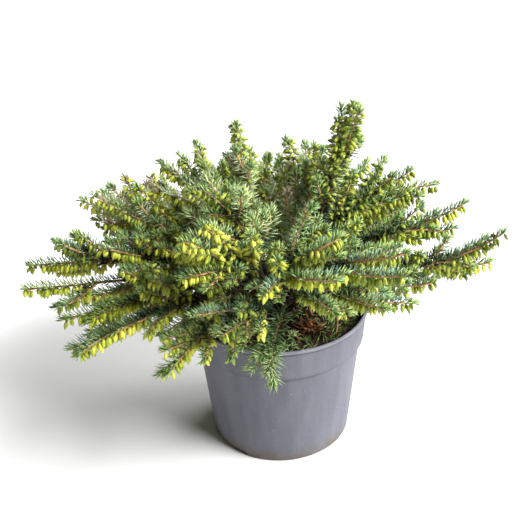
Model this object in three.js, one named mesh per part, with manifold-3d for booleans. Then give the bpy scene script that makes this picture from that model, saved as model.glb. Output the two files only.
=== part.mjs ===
// A winter heath in bud, growing in a round nursery pot. Millimetres, +Z up. The origin is the
// middle of the pot's flat underside, and -Y is the side that faces the viewer. The pot holds a
// full ball of potting mix. A short woody stock stands on it and carries the boughs, and each bough
// ends where a mass of leafy shoots begins. A shoot is a slim core, as thick as its dense leaf
// bases, that single leaves and hanging buds stand out of.
import * as THREE from "three";
import { mergeVertices } from "three/addons/utils/BufferGeometryUtils.js";
import Module from "manifold-3d";

const wasm = await Module();
wasm.setup();

// Clear distance between two pieces that touch on the real plant
const SEAT_GAP = 0.3;
const DEGREE = Math.PI / 180;
const GOLDEN_ANGLE = 137.5 * DEGREE;

// Pot: thin moulded plastic, a tapering body under a wider collar with a rolled lip
const POT_HEIGHT = 137;
const POT_WALL = 1.3;
const POT_FLOOR = 1.6;
const FOOT_RADIUS = 67.2;
const FOOT_ROUNDING = 2.4;
const BODY_TOP_RADIUS = 78;
const COLLAR_HEIGHT = 33;
const COLLAR_FOOT_RADIUS = 81.2;
const RIM_RADIUS = 85;
const COLLAR_STEP = 1.4;
const LIP_HEIGHT = 3.4;
const LIP_PROUD = 1.1;
const LIP_EDGE = 0.8;
const INSIDE_RISE = 0.85;
const POT_SEGMENTS = 40;

// Two arches in the foot let water out, one at the viewer's left front and one opposite it
const ARCH_AZIMUTHS = [225, 45];
const ARCH_WIDTH = 42;
const ARCH_HEIGHT = 4.6;
const ARCH_DEPTH = 15;
const ARCH_SLOPE = 8;
const ARCH_HOLE_RADIUS = 3.2;
const ARCH_HOLE_INSET = 8;
const ARCH_HOLE_SEGMENTS = 12;
const RUN_OUT = 5;

// Potting mix: filled to just under the rim, level round the stock and lumpy towards the wall
const SOIL_BELOW_RIM = 12;
const SOIL_LUMP = 1.6;
const SOIL_LUMP_SPACING = 7;
const SOIL_LEVEL_RADIUS = 26;
const SOIL_RING_SHARES = [1, 0.89, 0.66, 0.5];
const SOIL_SEGMENTS = 32;
const SOIL_TOP = POT_HEIGHT - SOIL_BELOW_RIM;

// Stock: the short woody stem, flared at its foot and leaning a little
const STOCK_FOOT = SOIL_TOP + SEAT_GAP;
const STOCK_HEIGHT = 30;
const STOCK_FLARE_RADIUS = 15;
const STOCK_WAIST_RADIUS = 9.5;
const STOCK_TOP_RADIUS = 7;
const STOCK_FLARE_FALL = 6;
const STOCK_LEAN = 2.5;
const STOCK_SIDES = 16;
const STOCK_RINGS = [0, 0.1, 0.22, 0.45, 0.75, 1];

// Limbs in three tiers. A tier's limbs leave the stock at one height and first head out and up by
// its launch; the share of a limb that is bare bough is its split. Each limb is [azimuth, reach
// from the pot's axis, height, bearing, slope] of its furthest tip, and how wide its mass may
// spread from its leading shoot. Angles are degrees, 270 faces the viewer, and the azimuths of a
// tier go round in order.
const TIERS = [
  {
    name: "skirt",
    stockHeight: 7,
    launchOut: 40,
    launchUp: 44,
    split: 0.27,
    limbs: [
      [38, 176, 186, 44, 8, 50],
      [88, 178, 178, 84, 2, 50],
      [134, 194, 172, 128, -4, 46],
      [181, 242, 163, 175, -4, 34],
      [197, 204, 162, 189, -9, 38],
      [207, 207, 153, 195, -15, 32],
      [227, 156, 137, 198, -36, 40],
      [246, 136, 180, 206, -14, 44],
      [266, 103, 112, 290, -66, 22],
      [294, 122, 190, 326, -16, 42],
      [315, 132, 182, 350, -12, 42],
      [354, 208, 219, 6, 38, 30],
    ],
  },
  {
    name: "shoulder",
    stockHeight: 16,
    launchOut: 28,
    launchUp: 56,
    split: 0.25,
    limbs: [
      [6, 180, 228, 26, 18, 38],
      [52, 160, 226, 58, 18, 46],
      [104, 160, 224, 100, 16, 46],
      [154, 217, 207, 152, 12, 42],
      [175, 240, 174, 171, -7, 32],
      [231, 133, 226, 186, -8, 42],
      [262, 122, 216, 236, -2, 46],
      [293, 130, 228, 350, 2, 44],
      [328, 134, 226, 14, 6, 42],
    ],
  },
  {
    name: "upper",
    stockHeight: 26,
    launchOut: 18,
    launchUp: 46,
    split: 0.2,
    limbs: [
      [12, 73, 335, 60, 74, 17],
      [20, 140, 250, 40, 14, 38],
      [66, 100, 262, 84, 46, 34],
      [120, 69, 300, 106, 60, 14],
      [144, 112, 266, 132, 30, 36],
      [200, 72, 272, 156, 26, 38],
      [301, 105, 254, 24, 16, 42],
    ],
  },
];
const TIP_PULL = 0.42;

// Boughs: the stock is faceted, so their feet stand a little further off its round form than the
// seat gap
const BOUGH_SEAT = 0.36;
const BOUGH_FOOT_RADIUS = 2.2;
const BOUGH_TIP_RADIUS = 1.4;
const BOUGH_SIDES = 5;
const BOUGH_STEPS = 4;

// Shoots: side shoots leave a mass's leading shoot over a share of its length, spread from it and
// then turn along it
const SEED = 1911;
const SIDE_SHOOTS = 13;
const FIRST_SIDE_SHOOT = 0.03;
const SIDE_SHOOT_SPAN = 0.66;
const SPREAD_AT_FOOT = 78 * DEGREE;
const SPREAD_AT_TIP = 26 * DEGREE;
const SPREAD_PLAY = 14 * DEGREE;
const UPTURN = 0.35;
const SHOOT_LENGTH_LOW = 0.62;
const SHOOT_LENGTH_HIGH = 0.96;
const SHORTENINGS = [1, 0.84, 0.7, 0.56, 0.44];

// A shoot's core is three-sided, with its flat underside down. Each of its faces, over one section
// of its length, is drawn out to a point: a leaf on the two upper sides, and a hanging bud below
// along the outer part.
const STEM_RADIUS = 1.2;
const CORE_RADIUS = 4.4;
const CORE_SIDES = 3;
const CORE_GROWN_BY = 0.12;
const CORE_AT_TIP = 0.6;
const SECTION_LENGTH = 13;
const TIP_LENGTH = 7;
const LEAF_REACH = 8.6;
const LEAF_LEAN = 6;
const BUD_REACH = 9.6;
const BUDS_FROM = 0.3;

// Space that a mass leaves clear to its neighbours, to the limbs and to the pot, whose rim is a band
// that shoots pass above
const SPACE_MARGIN = 0.3;
const LIMB_MARGIN = 0.5;
const POT_MARGIN = 2;
const RIM_BAND = 7.4;
const PATH_SAMPLES = 16;

const colours = {
  pot: new THREE.MeshStandardMaterial({
    name: "pot",
    color: 0x77757f,
    roughness: 0.55,
    metalness: 0,
  }),
  soil: new THREE.MeshStandardMaterial({
    name: "soil",
    color: 0x2a1e17,
    roughness: 0.95,
    metalness: 0,
  }),
  bark: new THREE.MeshStandardMaterial({
    name: "bark",
    color: 0x8a5636,
    roughness: 0.8,
    metalness: 0,
  }),
  foliage: new THREE.MeshStandardMaterial({
    name: "foliage",
    color: 0x4c7549,
    roughness: 0.6,
    metalness: 0,
  }),
};

// Solids

function solidOf(geometry) {
  const bare = geometry.clone();
  bare.deleteAttribute("normal");
  bare.deleteAttribute("uv");
  const merged = mergeVertices(bare, 1e-4);
  return new wasm.Manifold(
    new wasm.Mesh({
      numProp: 3,
      vertProperties: new Float32Array(merged.attributes.position.array),
      triVerts: new Uint32Array(merged.index.array),
    }),
  );
}

function geometryOf(solid) {
  const mesh = solid.getMesh();
  return new THREE.BufferGeometry()
    .setAttribute(
      "position",
      new THREE.BufferAttribute(mesh.vertProperties, mesh.numProp),
    )
    .setIndex(new THREE.BufferAttribute(mesh.triVerts, 1));
}

function latheSolid(profile, segments) {
  const points = profile.map(([radius, z]) => new THREE.Vector2(radius, z));
  const turned = new THREE.LatheGeometry([...points, points[0]], segments);
  return solidOf(turned.rotateX(Math.PI / 2));
}

function piece(name, geometry, material) {
  const made = new THREE.Mesh(geometry, material);
  made.name = name;
  return made;
}

// A closed tube through rings of points, which ends in a flat cut or in a single tip point.
function tube(rings, tip) {
  const sides = rings[0].length;
  const points = rings.flat();
  const faces = [];
  const corner = (ring, side) => ring * sides + (side % sides);
  for (let ring = 0; ring + 1 < rings.length; ring++) {
    for (let side = 0; side < sides; side++) {
      const [a, b] = [corner(ring, side), corner(ring, side + 1)];
      const [c, d] = [corner(ring + 1, side), corner(ring + 1, side + 1)];
      faces.push(a, b, d, a, d, c);
    }
  }
  for (let side = 1; side + 1 < sides; side++)
    faces.push(corner(0, 0), corner(0, side + 1), corner(0, side));
  const last = rings.length - 1;
  if (tip) points.push(tip);
  for (let side = 0; side < sides && tip; side++)
    faces.push(corner(last, side), corner(last, side + 1), points.length - 1);
  for (let side = 1; side + 1 < sides && !tip; side++)
    faces.push(corner(last, 0), corner(last, side), corner(last, side + 1));
  return new THREE.BufferGeometry().setFromPoints(points).setIndex(faces);
}

// A stretch of a curve. Its side is the level vector square to the straight way from its start to
// its end.
function lineOf(curve, from, to, length) {
  const pointAt = (share) => curve.getPoint(from + (to - from) * share);
  const tangentAt = (share) => curve.getTangent(from + (to - from) * share);
  const way = pointAt(1).sub(pointAt(0));
  const side = new THREE.Vector3(way.y, -way.x, 0).normalize();
  return { pointAt, tangentAt, length, side };
}

// Vectors across a line at a share of its length: one to its right, one on its upper side. They
// follow the line without twisting round it.
function frameAt(line, share) {
  const ahead = line.tangentAt(share);
  const right = line.side.clone().addScaledVector(ahead, -line.side.dot(ahead)).normalize();
  const above = new THREE.Vector3().crossVectors(right, ahead);
  return { right, above };
}

function ringAt(centre, frame, radius, sides) {
  return Array.from({ length: sides }, (_, side) => {
    const turn = (2 * Math.PI * (side + 0.5)) / sides;
    return centre
      .clone()
      .addScaledVector(frame.right, -radius * Math.cos(turn))
      .addScaledVector(frame.above, radius * Math.sin(turn));
  });
}

// Random numbers from 0 to 1 that are the same for the same seed
function seededRandom(seed) {
  let state = seed >>> 0;
  return () => {
    state = (state + 0x6d2b79f5) >>> 0;
    let mixed = Math.imul(state ^ (state >>> 15), state | 1);
    mixed ^= mixed + Math.imul(mixed ^ (mixed >>> 7), mixed | 61);
    return ((mixed ^ (mixed >>> 14)) >>> 0) / 2 ** 32;
  };
}

// Pot and potting mix

const BODY_TOP = POT_HEIGHT - COLLAR_HEIGHT;
const LIP_FOOT = POT_HEIGHT - LIP_HEIGHT;
const COLLAR_TOP_RADIUS = RIM_RADIUS - LIP_PROUD;

const POT_OUTSIDE = [
  [0, 0],
  [FOOT_RADIUS - FOOT_ROUNDING, 0],
  [FOOT_RADIUS - 0.3 * FOOT_ROUNDING, 0.3 * FOOT_ROUNDING],
  [FOOT_RADIUS, FOOT_ROUNDING],
  [BODY_TOP_RADIUS, BODY_TOP],
  [COLLAR_FOOT_RADIUS, BODY_TOP + COLLAR_STEP],
  [COLLAR_TOP_RADIUS, LIP_FOOT],
  [RIM_RADIUS, LIP_FOOT + LIP_EDGE],
  [RIM_RADIUS, POT_HEIGHT - LIP_EDGE],
  [RIM_RADIUS - LIP_EDGE, POT_HEIGHT],
  [0, POT_HEIGHT],
];

// The inside follows the outside one wall in, and rises at the collar's step so that the wall stays
// as thick there. What fills the pot is drawn in further, and lifted off its floor.
function potInside(inset, lift, top) {
  const shrink = POT_WALL + inset;
  const rise = INSIDE_RISE + lift;
  return [
    [0, POT_FLOOR + lift],
    [FOOT_RADIUS - FOOT_ROUNDING - shrink, POT_FLOOR + lift],
    [FOOT_RADIUS - shrink, FOOT_ROUNDING + POT_FLOOR + lift],
    [BODY_TOP_RADIUS - shrink, BODY_TOP + rise],
    [COLLAR_FOOT_RADIUS - shrink, BODY_TOP + COLLAR_STEP + rise],
    ...top,
  ];
}

function archSolid(azimuth, grow) {
  const halfFoot = ARCH_WIDTH / 2 + grow;
  const height = ARCH_HEIGHT + grow;
  const outline = new THREE.Shape([
    new THREE.Vector2(-halfFoot, -RUN_OUT),
    new THREE.Vector2(halfFoot, -RUN_OUT),
    new THREE.Vector2(halfFoot, 0),
    new THREE.Vector2(halfFoot - ARCH_SLOPE, height),
    new THREE.Vector2(ARCH_SLOPE - halfFoot, height),
    new THREE.Vector2(-halfFoot, 0),
  ]);
  const depth = ARCH_DEPTH + RUN_OUT + grow;
  const block = new THREE.ExtrudeGeometry(outline, { depth, bevelEnabled: false });
  block.rotateX(Math.PI / 2);
  block.rotateZ(Math.PI / 2);
  block.translate(FOOT_RADIUS - ARCH_DEPTH - grow, 0, 0);
  block.rotateZ(azimuth * DEGREE);
  return solidOf(block);
}

function archHole(azimuth) {
  const height = 2 * (POT_FLOOR + RUN_OUT);
  const hole = new THREE.CylinderGeometry(ARCH_HOLE_RADIUS, ARCH_HOLE_RADIUS, height, ARCH_HOLE_SEGMENTS);
  hole.rotateX(Math.PI / 2);
  hole.translate(FOOT_RADIUS - ARCH_HOLE_INSET, 0, ARCH_HEIGHT);
  hole.rotateZ(azimuth * DEGREE);
  return solidOf(hole);
}

function potGeometry() {
  const mouthRadius = RIM_RADIUS - LIP_EDGE - POT_WALL;
  const top = [
    [COLLAR_TOP_RADIUS - POT_WALL, LIP_FOOT],
    [mouthRadius, POT_HEIGHT],
    [mouthRadius, POT_HEIGHT + RUN_OUT],
    [0, POT_HEIGHT + RUN_OUT],
  ];
  let pot = latheSolid(POT_OUTSIDE, POT_SEGMENTS);
  let hollow = latheSolid(potInside(0, 0, top), POT_SEGMENTS);
  for (const azimuth of ARCH_AZIMUTHS)
    hollow = hollow.subtract(archSolid(azimuth, POT_WALL));
  pot = pot.subtract(hollow);
  for (const azimuth of ARCH_AZIMUTHS)
    pot = pot.subtract(archSolid(azimuth, 0)).subtract(archHole(azimuth));
  return geometryOf(pot);
}

function soilGeometry() {
  const wallSlope = (COLLAR_TOP_RADIUS - COLLAR_FOOT_RADIUS) / COLLAR_HEIGHT;
  const wallRadius = COLLAR_TOP_RADIUS - POT_WALL - SOIL_BELOW_RIM * wallSlope;
  const edge = wallRadius * Math.cos(Math.PI / POT_SEGMENTS) - 2 * SEAT_GAP;
  const rings = [...SOIL_RING_SHARES.map((share) => share * edge), SOIL_LEVEL_RADIUS, 0];
  const profile = potInside(
    2 * SEAT_GAP,
    SEAT_GAP,
    rings.map((radius) => [radius, SOIL_TOP]),
  );
  const points = profile.map(([radius, z]) => new THREE.Vector2(radius, z));
  const ball = new THREE.LatheGeometry([...points, points[0]], SOIL_SEGMENTS);
  ball.rotateX(Math.PI / 2);
  const place = ball.attributes.position;
  const lumps = [SEED, SEED + 1, SEED + 2].map((seed) => {
    const random = seededRandom(seed);
    return { phase: 2 * Math.PI * random(), waves: 3 + Math.floor(6 * random()) };
  });
  for (let i = 0; i < place.count; i++) {
    const [x, y, z] = [place.getX(i), place.getY(i), place.getZ(i)];
    const radius = Math.hypot(x, y);
    if (z < SOIL_TOP - 0.01 || radius < SOIL_LEVEL_RADIUS + 1) continue;
    const turn = Math.atan2(y, x);
    const lump = lumps.reduce(
      (sum, wave) => sum + Math.sin(wave.waves * turn + wave.phase + radius / SOIL_LUMP_SPACING),
      0,
    );
    place.setZ(i, z + (SOIL_LUMP * lump) / lumps.length);
  }
  let soil = solidOf(ball);
  for (const azimuth of ARCH_AZIMUTHS)
    soil = soil.subtract(archSolid(azimuth, POT_WALL + SEAT_GAP));
  return geometryOf(soil);
}

// Stock and boughs

function stockRadius(share) {
  const flare = Math.exp(-STOCK_FLARE_FALL * share);
  const waist = STOCK_WAIST_RADIUS + (STOCK_TOP_RADIUS - STOCK_WAIST_RADIUS) * share;
  return waist + (STOCK_FLARE_RADIUS - STOCK_WAIST_RADIUS) * flare;
}

function stockCentre(share) {
  return new THREE.Vector3(
    -STOCK_LEAN * share,
    STOCK_LEAN * 0.5 * share,
    STOCK_FOOT + STOCK_HEIGHT * share,
  );
}

function level(turn) {
  return new THREE.Vector3(Math.cos(turn), Math.sin(turn), 0);
}

function stockGeometry() {
  const upright = {
    right: new THREE.Vector3(-1, 0, 0),
    above: new THREE.Vector3(0, 1, 0),
  };
  const rings = STOCK_RINGS.map((share) =>
    ringAt(stockCentre(share), upright, stockRadius(share), STOCK_SIDES),
  );
  return tube(rings, null);
}

// A limb's whole line, from the stock to its furthest tip. Limbs leave the stock evenly spaced, so
// a limb's place in its tier gives its azimuth there, and its own azimuth leads it after that.
function limbCurve(tier, index) {
  const [azimuth, reach, height, bearing, slope] = tier.limbs[index];
  const count = tier.limbs.length;
  const spacing = 360 / count;
  const offset = tier.limbs.reduce((sum, limb, i) => sum + limb[0] - spacing * i, 0) / count;
  const outAtFoot = level((offset + spacing * index) * DEGREE);
  const out = level(azimuth * DEGREE);
  const share = tier.stockHeight / STOCK_HEIGHT;
  const launch = outAtFoot
    .clone()
    .multiplyScalar(tier.launchOut / 2)
    .addScaledVector(out, tier.launchOut / 2);
  launch.z += tier.launchUp;
  const footHalfHeight = (BOUGH_FOOT_RADIUS * launch.length()) / launch.dot(outAtFoot);
  const lowest = Math.max(0, share - footHalfHeight / STOCK_HEIGHT);
  const highest = Math.min(1, share + footHalfHeight / STOCK_HEIGHT);
  const stockReach = (at) => stockRadius(at) + stockCentre(at).sub(stockCentre(share)).dot(outAtFoot);
  const clear = Math.max(stockReach(lowest), stockReach(highest)) + BOUGH_SEAT;
  const foot = stockCentre(share).addScaledVector(outAtFoot, clear);
  const tip = out.clone().multiplyScalar(reach);
  tip.z = height;
  const heading = level(bearing * DEGREE).multiplyScalar(Math.cos(slope * DEGREE));
  heading.z = Math.sin(slope * DEGREE);
  const pull = TIP_PULL * foot.distanceTo(tip);
  const before = tip.clone().addScaledVector(heading, -pull);
  const curve = new THREE.CubicBezierCurve3(foot, launch.add(foot), before, tip);
  return { curve, outAtFoot };
}

// A bough's foot is cut slantwise, upright and one seat gap clear of the stock that it grows out of.
function boughGeometry(limb) {
  const { bough } = limb;
  const rings = Array.from({ length: BOUGH_STEPS + 1 }, (_, step) => {
    const share = step / BOUGH_STEPS;
    const radius = BOUGH_FOOT_RADIUS + (BOUGH_TIP_RADIUS - BOUGH_FOOT_RADIUS) * share;
    return ringAt(bough.pointAt(share), frameAt(bough, share), radius, BOUGH_SIDES);
  });
  const along = bough.tangentAt(0);
  const foot = bough.pointAt(0);
  for (const point of rings[0]) {
    const short = foot.clone().sub(point).dot(limb.outAtFoot);
    point.addScaledVector(along, short / along.dot(limb.outAtFoot));
  }
  return tube(rings, null);
}

// Masses of shoots

function sideShoot(leader, order, random) {
  const draws = [random(), random(), random()];
  const share = FIRST_SIDE_SHOOT + (SIDE_SHOOT_SPAN * (order + 0.6 * draws[0])) / SIDE_SHOOTS;
  const fullSpread = SPREAD_AT_FOOT + (SPREAD_AT_TIP - SPREAD_AT_FOOT) * share;
  const spread = fullSpread + SPREAD_PLAY * (draws[1] - 0.5);
  const turn = order * GOLDEN_ANGLE + draws[2];
  const vigour = SHOOT_LENGTH_LOW + (SHOOT_LENGTH_HIGH - SHOOT_LENGTH_LOW) * draws[2];
  const length = leader.length * (1 - share) * vigour;
  const start = leader.pointAt(share);
  const ahead = leader.tangentAt(share);
  const { right, above } = frameAt(leader, share);
  const leaving = ahead
    .clone()
    .multiplyScalar(Math.cos(spread))
    .addScaledVector(right, Math.sin(spread) * Math.cos(turn))
    .addScaledVector(above, Math.sin(spread) * Math.sin(turn));
  const arriving = leaving.clone().add(leader.tangentAt(1));
  arriving.z += UPTURN;
  arriving.normalize();
  return (shortening) => {
    const half = (length * shortening) / 2;
    const middle = start.clone().addScaledVector(leaving, half);
    const tip = middle.clone().addScaledVector(arriving, half);
    return lineOf(new THREE.QuadraticBezierCurve3(start, middle, tip), 0, 1, 2 * half);
  };
}

// A core swells from the stem to its full width, narrows towards its tip, and stays within the room
// that it has.
function coreRings(shoot, roomAt) {
  const leafy = 1 - TIP_LENGTH / shoot.length;
  const sections = Math.max(2, Math.round((shoot.length * leafy) / SECTION_LENGTH));
  return Array.from({ length: sections + 1 }, (_, i) => {
    const share = (i / sections) * leafy;
    const swelling = Math.min(1, share / CORE_GROWN_BY);
    const narrowing = 1 - (1 - CORE_AT_TIP) * share ** 3;
    const radius = STEM_RADIUS + (CORE_RADIUS - STEM_RADIUS) * swelling * narrowing;
    const centre = shoot.pointAt(share);
    return ringAt(centre, frameAt(shoot, share), Math.min(radius, roomAt(centre)), CORE_SIDES);
  });
}

// The point that a core's face is drawn out to, from the middle of its section
function standingPoint(shoot, share, corners) {
  const centre = corners.reduce((sum, corner) => sum.add(corner), new THREE.Vector3());
  centre.divideScalar(corners.length);
  const ahead = shoot.tangentAt(share);
  const onStem = shoot.pointAt(share);
  const outward = centre.clone().sub(onStem);
  outward.addScaledVector(ahead, -outward.dot(ahead)).normalize();
  const below = outward.z < -0.5 && share > BUDS_FROM;
  const point = onStem.addScaledVector(outward, below ? BUD_REACH : LEAF_REACH);
  return point.addScaledVector(ahead, below ? 0 : LEAF_LEAN);
}

// The core through its rings, closed by a tip point, with a standing point on each face where the
// space allows one
function shootGeometry(shoot, rings, allowed) {
  const points = rings.flat();
  const faces = [];
  const corner = (ring, side) => ring * CORE_SIDES + (side % CORE_SIDES);
  for (let ring = 0; ring + 1 < rings.length; ring++) {
    for (let side = 0; side < CORE_SIDES; side++) {
      const around = [
        corner(ring, side),
        corner(ring, side + 1),
        corner(ring + 1, side + 1),
        corner(ring + 1, side),
      ];
      const share = ((ring + 0.5) / (rings.length - 1)) * (1 - TIP_LENGTH / shoot.length);
      const apex = standingPoint(shoot, share, around.map((i) => points[i]));
      if (ring > 0 && allowed(apex)) {
        points.push(apex);
        around.forEach((from, i) => faces.push(from, around[(i + 1) % 4], points.length - 1));
      } else {
        faces.push(around[0], around[1], around[2], around[0], around[2], around[3]);
      }
    }
  }
  points.push(shoot.pointAt(1));
  for (let side = 0; side < CORE_SIDES; side++)
    faces.push(corner(rings.length - 1, side), corner(rings.length - 1, side + 1), points.length - 1);
  for (let side = 1; side + 1 < CORE_SIDES; side++)
    faces.push(0, side + 1, side);
  return new THREE.BufferGeometry().setFromPoints(points).setIndex(faces);
}

function segmentDistance(point, from, to) {
  const line = new THREE.Line3(from, to);
  return line.closestPointToPoint(point, true, new THREE.Vector3()).distanceTo(point);
}

function pathDistance(point, path) {
  let nearest = Infinity;
  for (let i = 0; i + 1 < path.length; i++)
    nearest = Math.min(nearest, segmentDistance(point, path[i], path[i + 1]));
  return nearest;
}

function clearOfPot(point) {
  const radius = Math.hypot(point.x, point.y);
  if (point.z < SOIL_TOP + SOIL_LUMP + POT_MARGIN)
    return radius > RIM_RADIUS + POT_MARGIN;
  const overRim = radius > RIM_RADIUS - RIM_BAND && radius < RIM_RADIUS + POT_MARGIN;
  return !overRim || point.z > POT_HEIGHT + POT_MARGIN;
}

// A point is in its mass's space if it is within the mass's width, and the mass's own leading shoot
// is the nearest one by more than twice the margin.
function inSpace(point, own, limbs) {
  if (!clearOfPot(point)) return false;
  const home = pathDistance(point, limbs[own].leaderPath);
  if (home > limbs[own].width) return false;
  return limbs.every((limb, i) => {
    if (pathDistance(point, limb.boughPath) < BOUGH_FOOT_RADIUS + LIMB_MARGIN)
      return false;
    return i === own || pathDistance(point, limb.leaderPath) > home + 2 * SPACE_MARGIN;
  });
}

// Half the way to the nearest other leading shoot, or all of it to a limb or the rim: the widest
// that a leading shoot may be there
function roomOnLeader(point, own, limbs) {
  const toRim = Math.hypot(Math.hypot(point.x, point.y) - RIM_RADIUS, point.z - POT_HEIGHT);
  return Math.min(
    toRim - POT_MARGIN,
    ...limbs.map((limb, i) => {
      const toBough = pathDistance(point, limb.boughPath) - BOUGH_FOOT_RADIUS - LIMB_MARGIN;
      if (i === own) return Infinity;
      const toLeader = pathDistance(point, limb.leaderPath) / 2 - SPACE_MARGIN;
      return Math.min(toBough, toLeader);
    }),
  );
}

function massGeometry(own, limbs) {
  const limb = limbs[own];
  const random = seededRandom(SEED + 101 * own);
  const allowed = (point) => inSpace(point, own, limbs);
  const leaderRings = coreRings(limb.leader, (point) => roomOnLeader(point, own, limbs));
  const solids = [solidOf(shootGeometry(limb.leader, leaderRings, allowed))];
  for (let order = 0; order < SIDE_SHOOTS; order++) {
    const grown = sideShoot(limb.leader, order, random);
    for (const shortening of SHORTENINGS) {
      const shoot = grown(shortening);
      const rings = coreRings(shoot, () => CORE_RADIUS);
      if (![...rings.flat(), shoot.pointAt(1)].every(allowed)) continue;
      solids.push(solidOf(shootGeometry(shoot, rings, allowed)));
      break;
    }
  }
  const joined = solids.reduce((sum, solid) => sum.add(solid));
  const whole = joined.decompose().sort((a, b) => b.volume() - a.volume())[0];
  return geometryOf(whole);
}

// The plant in its pot

function pathOf({ pointAt }) {
  return Array.from({ length: PATH_SAMPLES + 1 }, (_, i) =>
    pointAt(i / PATH_SAMPLES),
  );
}

// The leading shoot of a mass runs on from its bough's tip, one seat gap further.
function allLimbs() {
  return TIERS.flatMap((tier) =>
    tier.limbs.map((row, index) => {
      const { curve, outAtFoot } = limbCurve(tier, index);
      const length = curve.getLength();
      const from = tier.split + SEAT_GAP / length;
      const bough = lineOf(curve, 0, tier.split, length * tier.split);
      const leader = lineOf(curve, from, 1, length * (1 - from));
      return {
        name: tier.name + "_" + String(index + 1).padStart(2, "0"),
        width: row[5],
        outAtFoot,
        bough,
        leader,
        boughPath: pathOf(bough),
        leaderPath: pathOf(leader),
      };
    }),
  );
}

const plant = new THREE.Group();
plant.name = "potted_heath";
plant.add(piece("pot", potGeometry(), colours.pot));
plant.add(piece("soil", soilGeometry(), colours.soil));
plant.add(piece("stock", stockGeometry(), colours.bark));

const limbs = allLimbs();
limbs.forEach((limb, own) => {
  plant.add(piece("bough_" + limb.name, boughGeometry(limb), colours.bark));
  plant.add(piece("mass_" + limb.name, massGeometry(own, limbs), colours.foliage));
});

export default plant;
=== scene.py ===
"""A winter heath in bud in a round nursery pot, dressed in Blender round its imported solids.

The limbs and their first side shoots follow the same rule as the solids. From there the rule is carried on to
finer twigs, and some shoots are aimed at tips of their own. Every shoot gets its needles, its hanging buds
and its bark. Lengths are millimetres until a mesh is made.
"""

import math

import bpy
import numpy as np
from mathutils import Matrix, Vector


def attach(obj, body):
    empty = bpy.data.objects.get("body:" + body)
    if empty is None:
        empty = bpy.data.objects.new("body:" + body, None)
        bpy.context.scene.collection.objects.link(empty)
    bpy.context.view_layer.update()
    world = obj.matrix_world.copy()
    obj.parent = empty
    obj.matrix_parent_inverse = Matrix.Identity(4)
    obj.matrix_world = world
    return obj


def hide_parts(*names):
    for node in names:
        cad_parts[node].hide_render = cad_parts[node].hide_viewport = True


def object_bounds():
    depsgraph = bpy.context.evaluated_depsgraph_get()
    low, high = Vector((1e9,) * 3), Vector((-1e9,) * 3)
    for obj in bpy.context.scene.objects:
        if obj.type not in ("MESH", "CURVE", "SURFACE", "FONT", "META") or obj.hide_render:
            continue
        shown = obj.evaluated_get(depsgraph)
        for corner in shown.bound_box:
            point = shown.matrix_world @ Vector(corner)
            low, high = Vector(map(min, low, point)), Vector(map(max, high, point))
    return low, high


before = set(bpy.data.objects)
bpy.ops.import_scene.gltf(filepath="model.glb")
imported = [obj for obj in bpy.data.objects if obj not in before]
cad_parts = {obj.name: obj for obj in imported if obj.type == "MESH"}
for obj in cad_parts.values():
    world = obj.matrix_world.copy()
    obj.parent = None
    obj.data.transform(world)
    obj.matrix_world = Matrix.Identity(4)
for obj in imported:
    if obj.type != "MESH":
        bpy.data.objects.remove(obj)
CAD_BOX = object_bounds()
MM = 0.001
DEGREE = math.pi / 180
GOLDEN_ANGLE = 137.5 * DEGREE
UP = np.array([0.0, 0.0, 1.0])

# The photograph's camera, fitted to the pot's circles: its frame in pixels, and its place round the target
PHOTO_WIDTH = 524
FOCAL_PIXELS = 972
SENSOR_WIDTH = 36
CAMERA_TARGET = np.array([-13.9, 0.0, 181.4])
CAMERA_DISTANCE = 900
CAMERA_ELEVATION = 29.4 * DEGREE
CAMERA_ROLL = -1.96 * DEGREE
CAMERA_AHEAD = np.array([0, math.cos(CAMERA_ELEVATION), -math.sin(CAMERA_ELEVATION)])
CAMERA_UP = np.array([0, math.sin(CAMERA_ELEVATION), math.cos(CAMERA_ELEVATION)])
CAMERA_PLACE = CAMERA_TARGET - CAMERA_AHEAD * CAMERA_DISTANCE

# Pot
POT_HEIGHT = 137
POT_WALL = 1.3
POT_FLOOR = 1.6
FOOT_RADIUS = 67.2
FOOT_ROUNDING = 2.4
BODY_TOP_RADIUS = 78
COLLAR_HEIGHT = 33
COLLAR_FOOT_RADIUS = 81.2
COLLAR_ROUNDING = 1.7
COLLAR_STEP = 1.4
INSIDE_RISE = 0.85
RIM_RADIUS = 85
LIP_HEIGHT = 3.4
LIP_PROUD = 1.1
BODY_TOP = POT_HEIGHT - COLLAR_HEIGHT
LIP_FOOT = POT_HEIGHT - LIP_HEIGHT
COLLAR_TOP_RADIUS = RIM_RADIUS - LIP_PROUD
POT_SEGMENTS = 224
SHARP_ANGLE = 28 * DEGREE
ARCH_AZIMUTHS = (225, 45)
ARCH_WIDTH = 42
ARCH_HEIGHT = 4.6
ARCH_DEPTH = 15
ARCH_SLOPE = 8
ARCH_RUN_OUT = 5

# Shades of the pot from its foot to its rim, as shares of its height, a little darker at its foot.
# Painted shadow lines under the collar's step and under the lip's bead, and a painted highlight on the lip.
POT_PAINTED_LIGHT = (
    (0.0, 0.9), (0.04, 1.0), (0.742, 1.0), (0.753, 0.55), (0.765, 0.82), (0.79, 1.0),
    (0.958, 1.0), (0.97, 0.68), (0.979, 1.0), (0.986, 1.5), (1.0, 1.4),
)
SOILED_HEIGHT = 16

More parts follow.
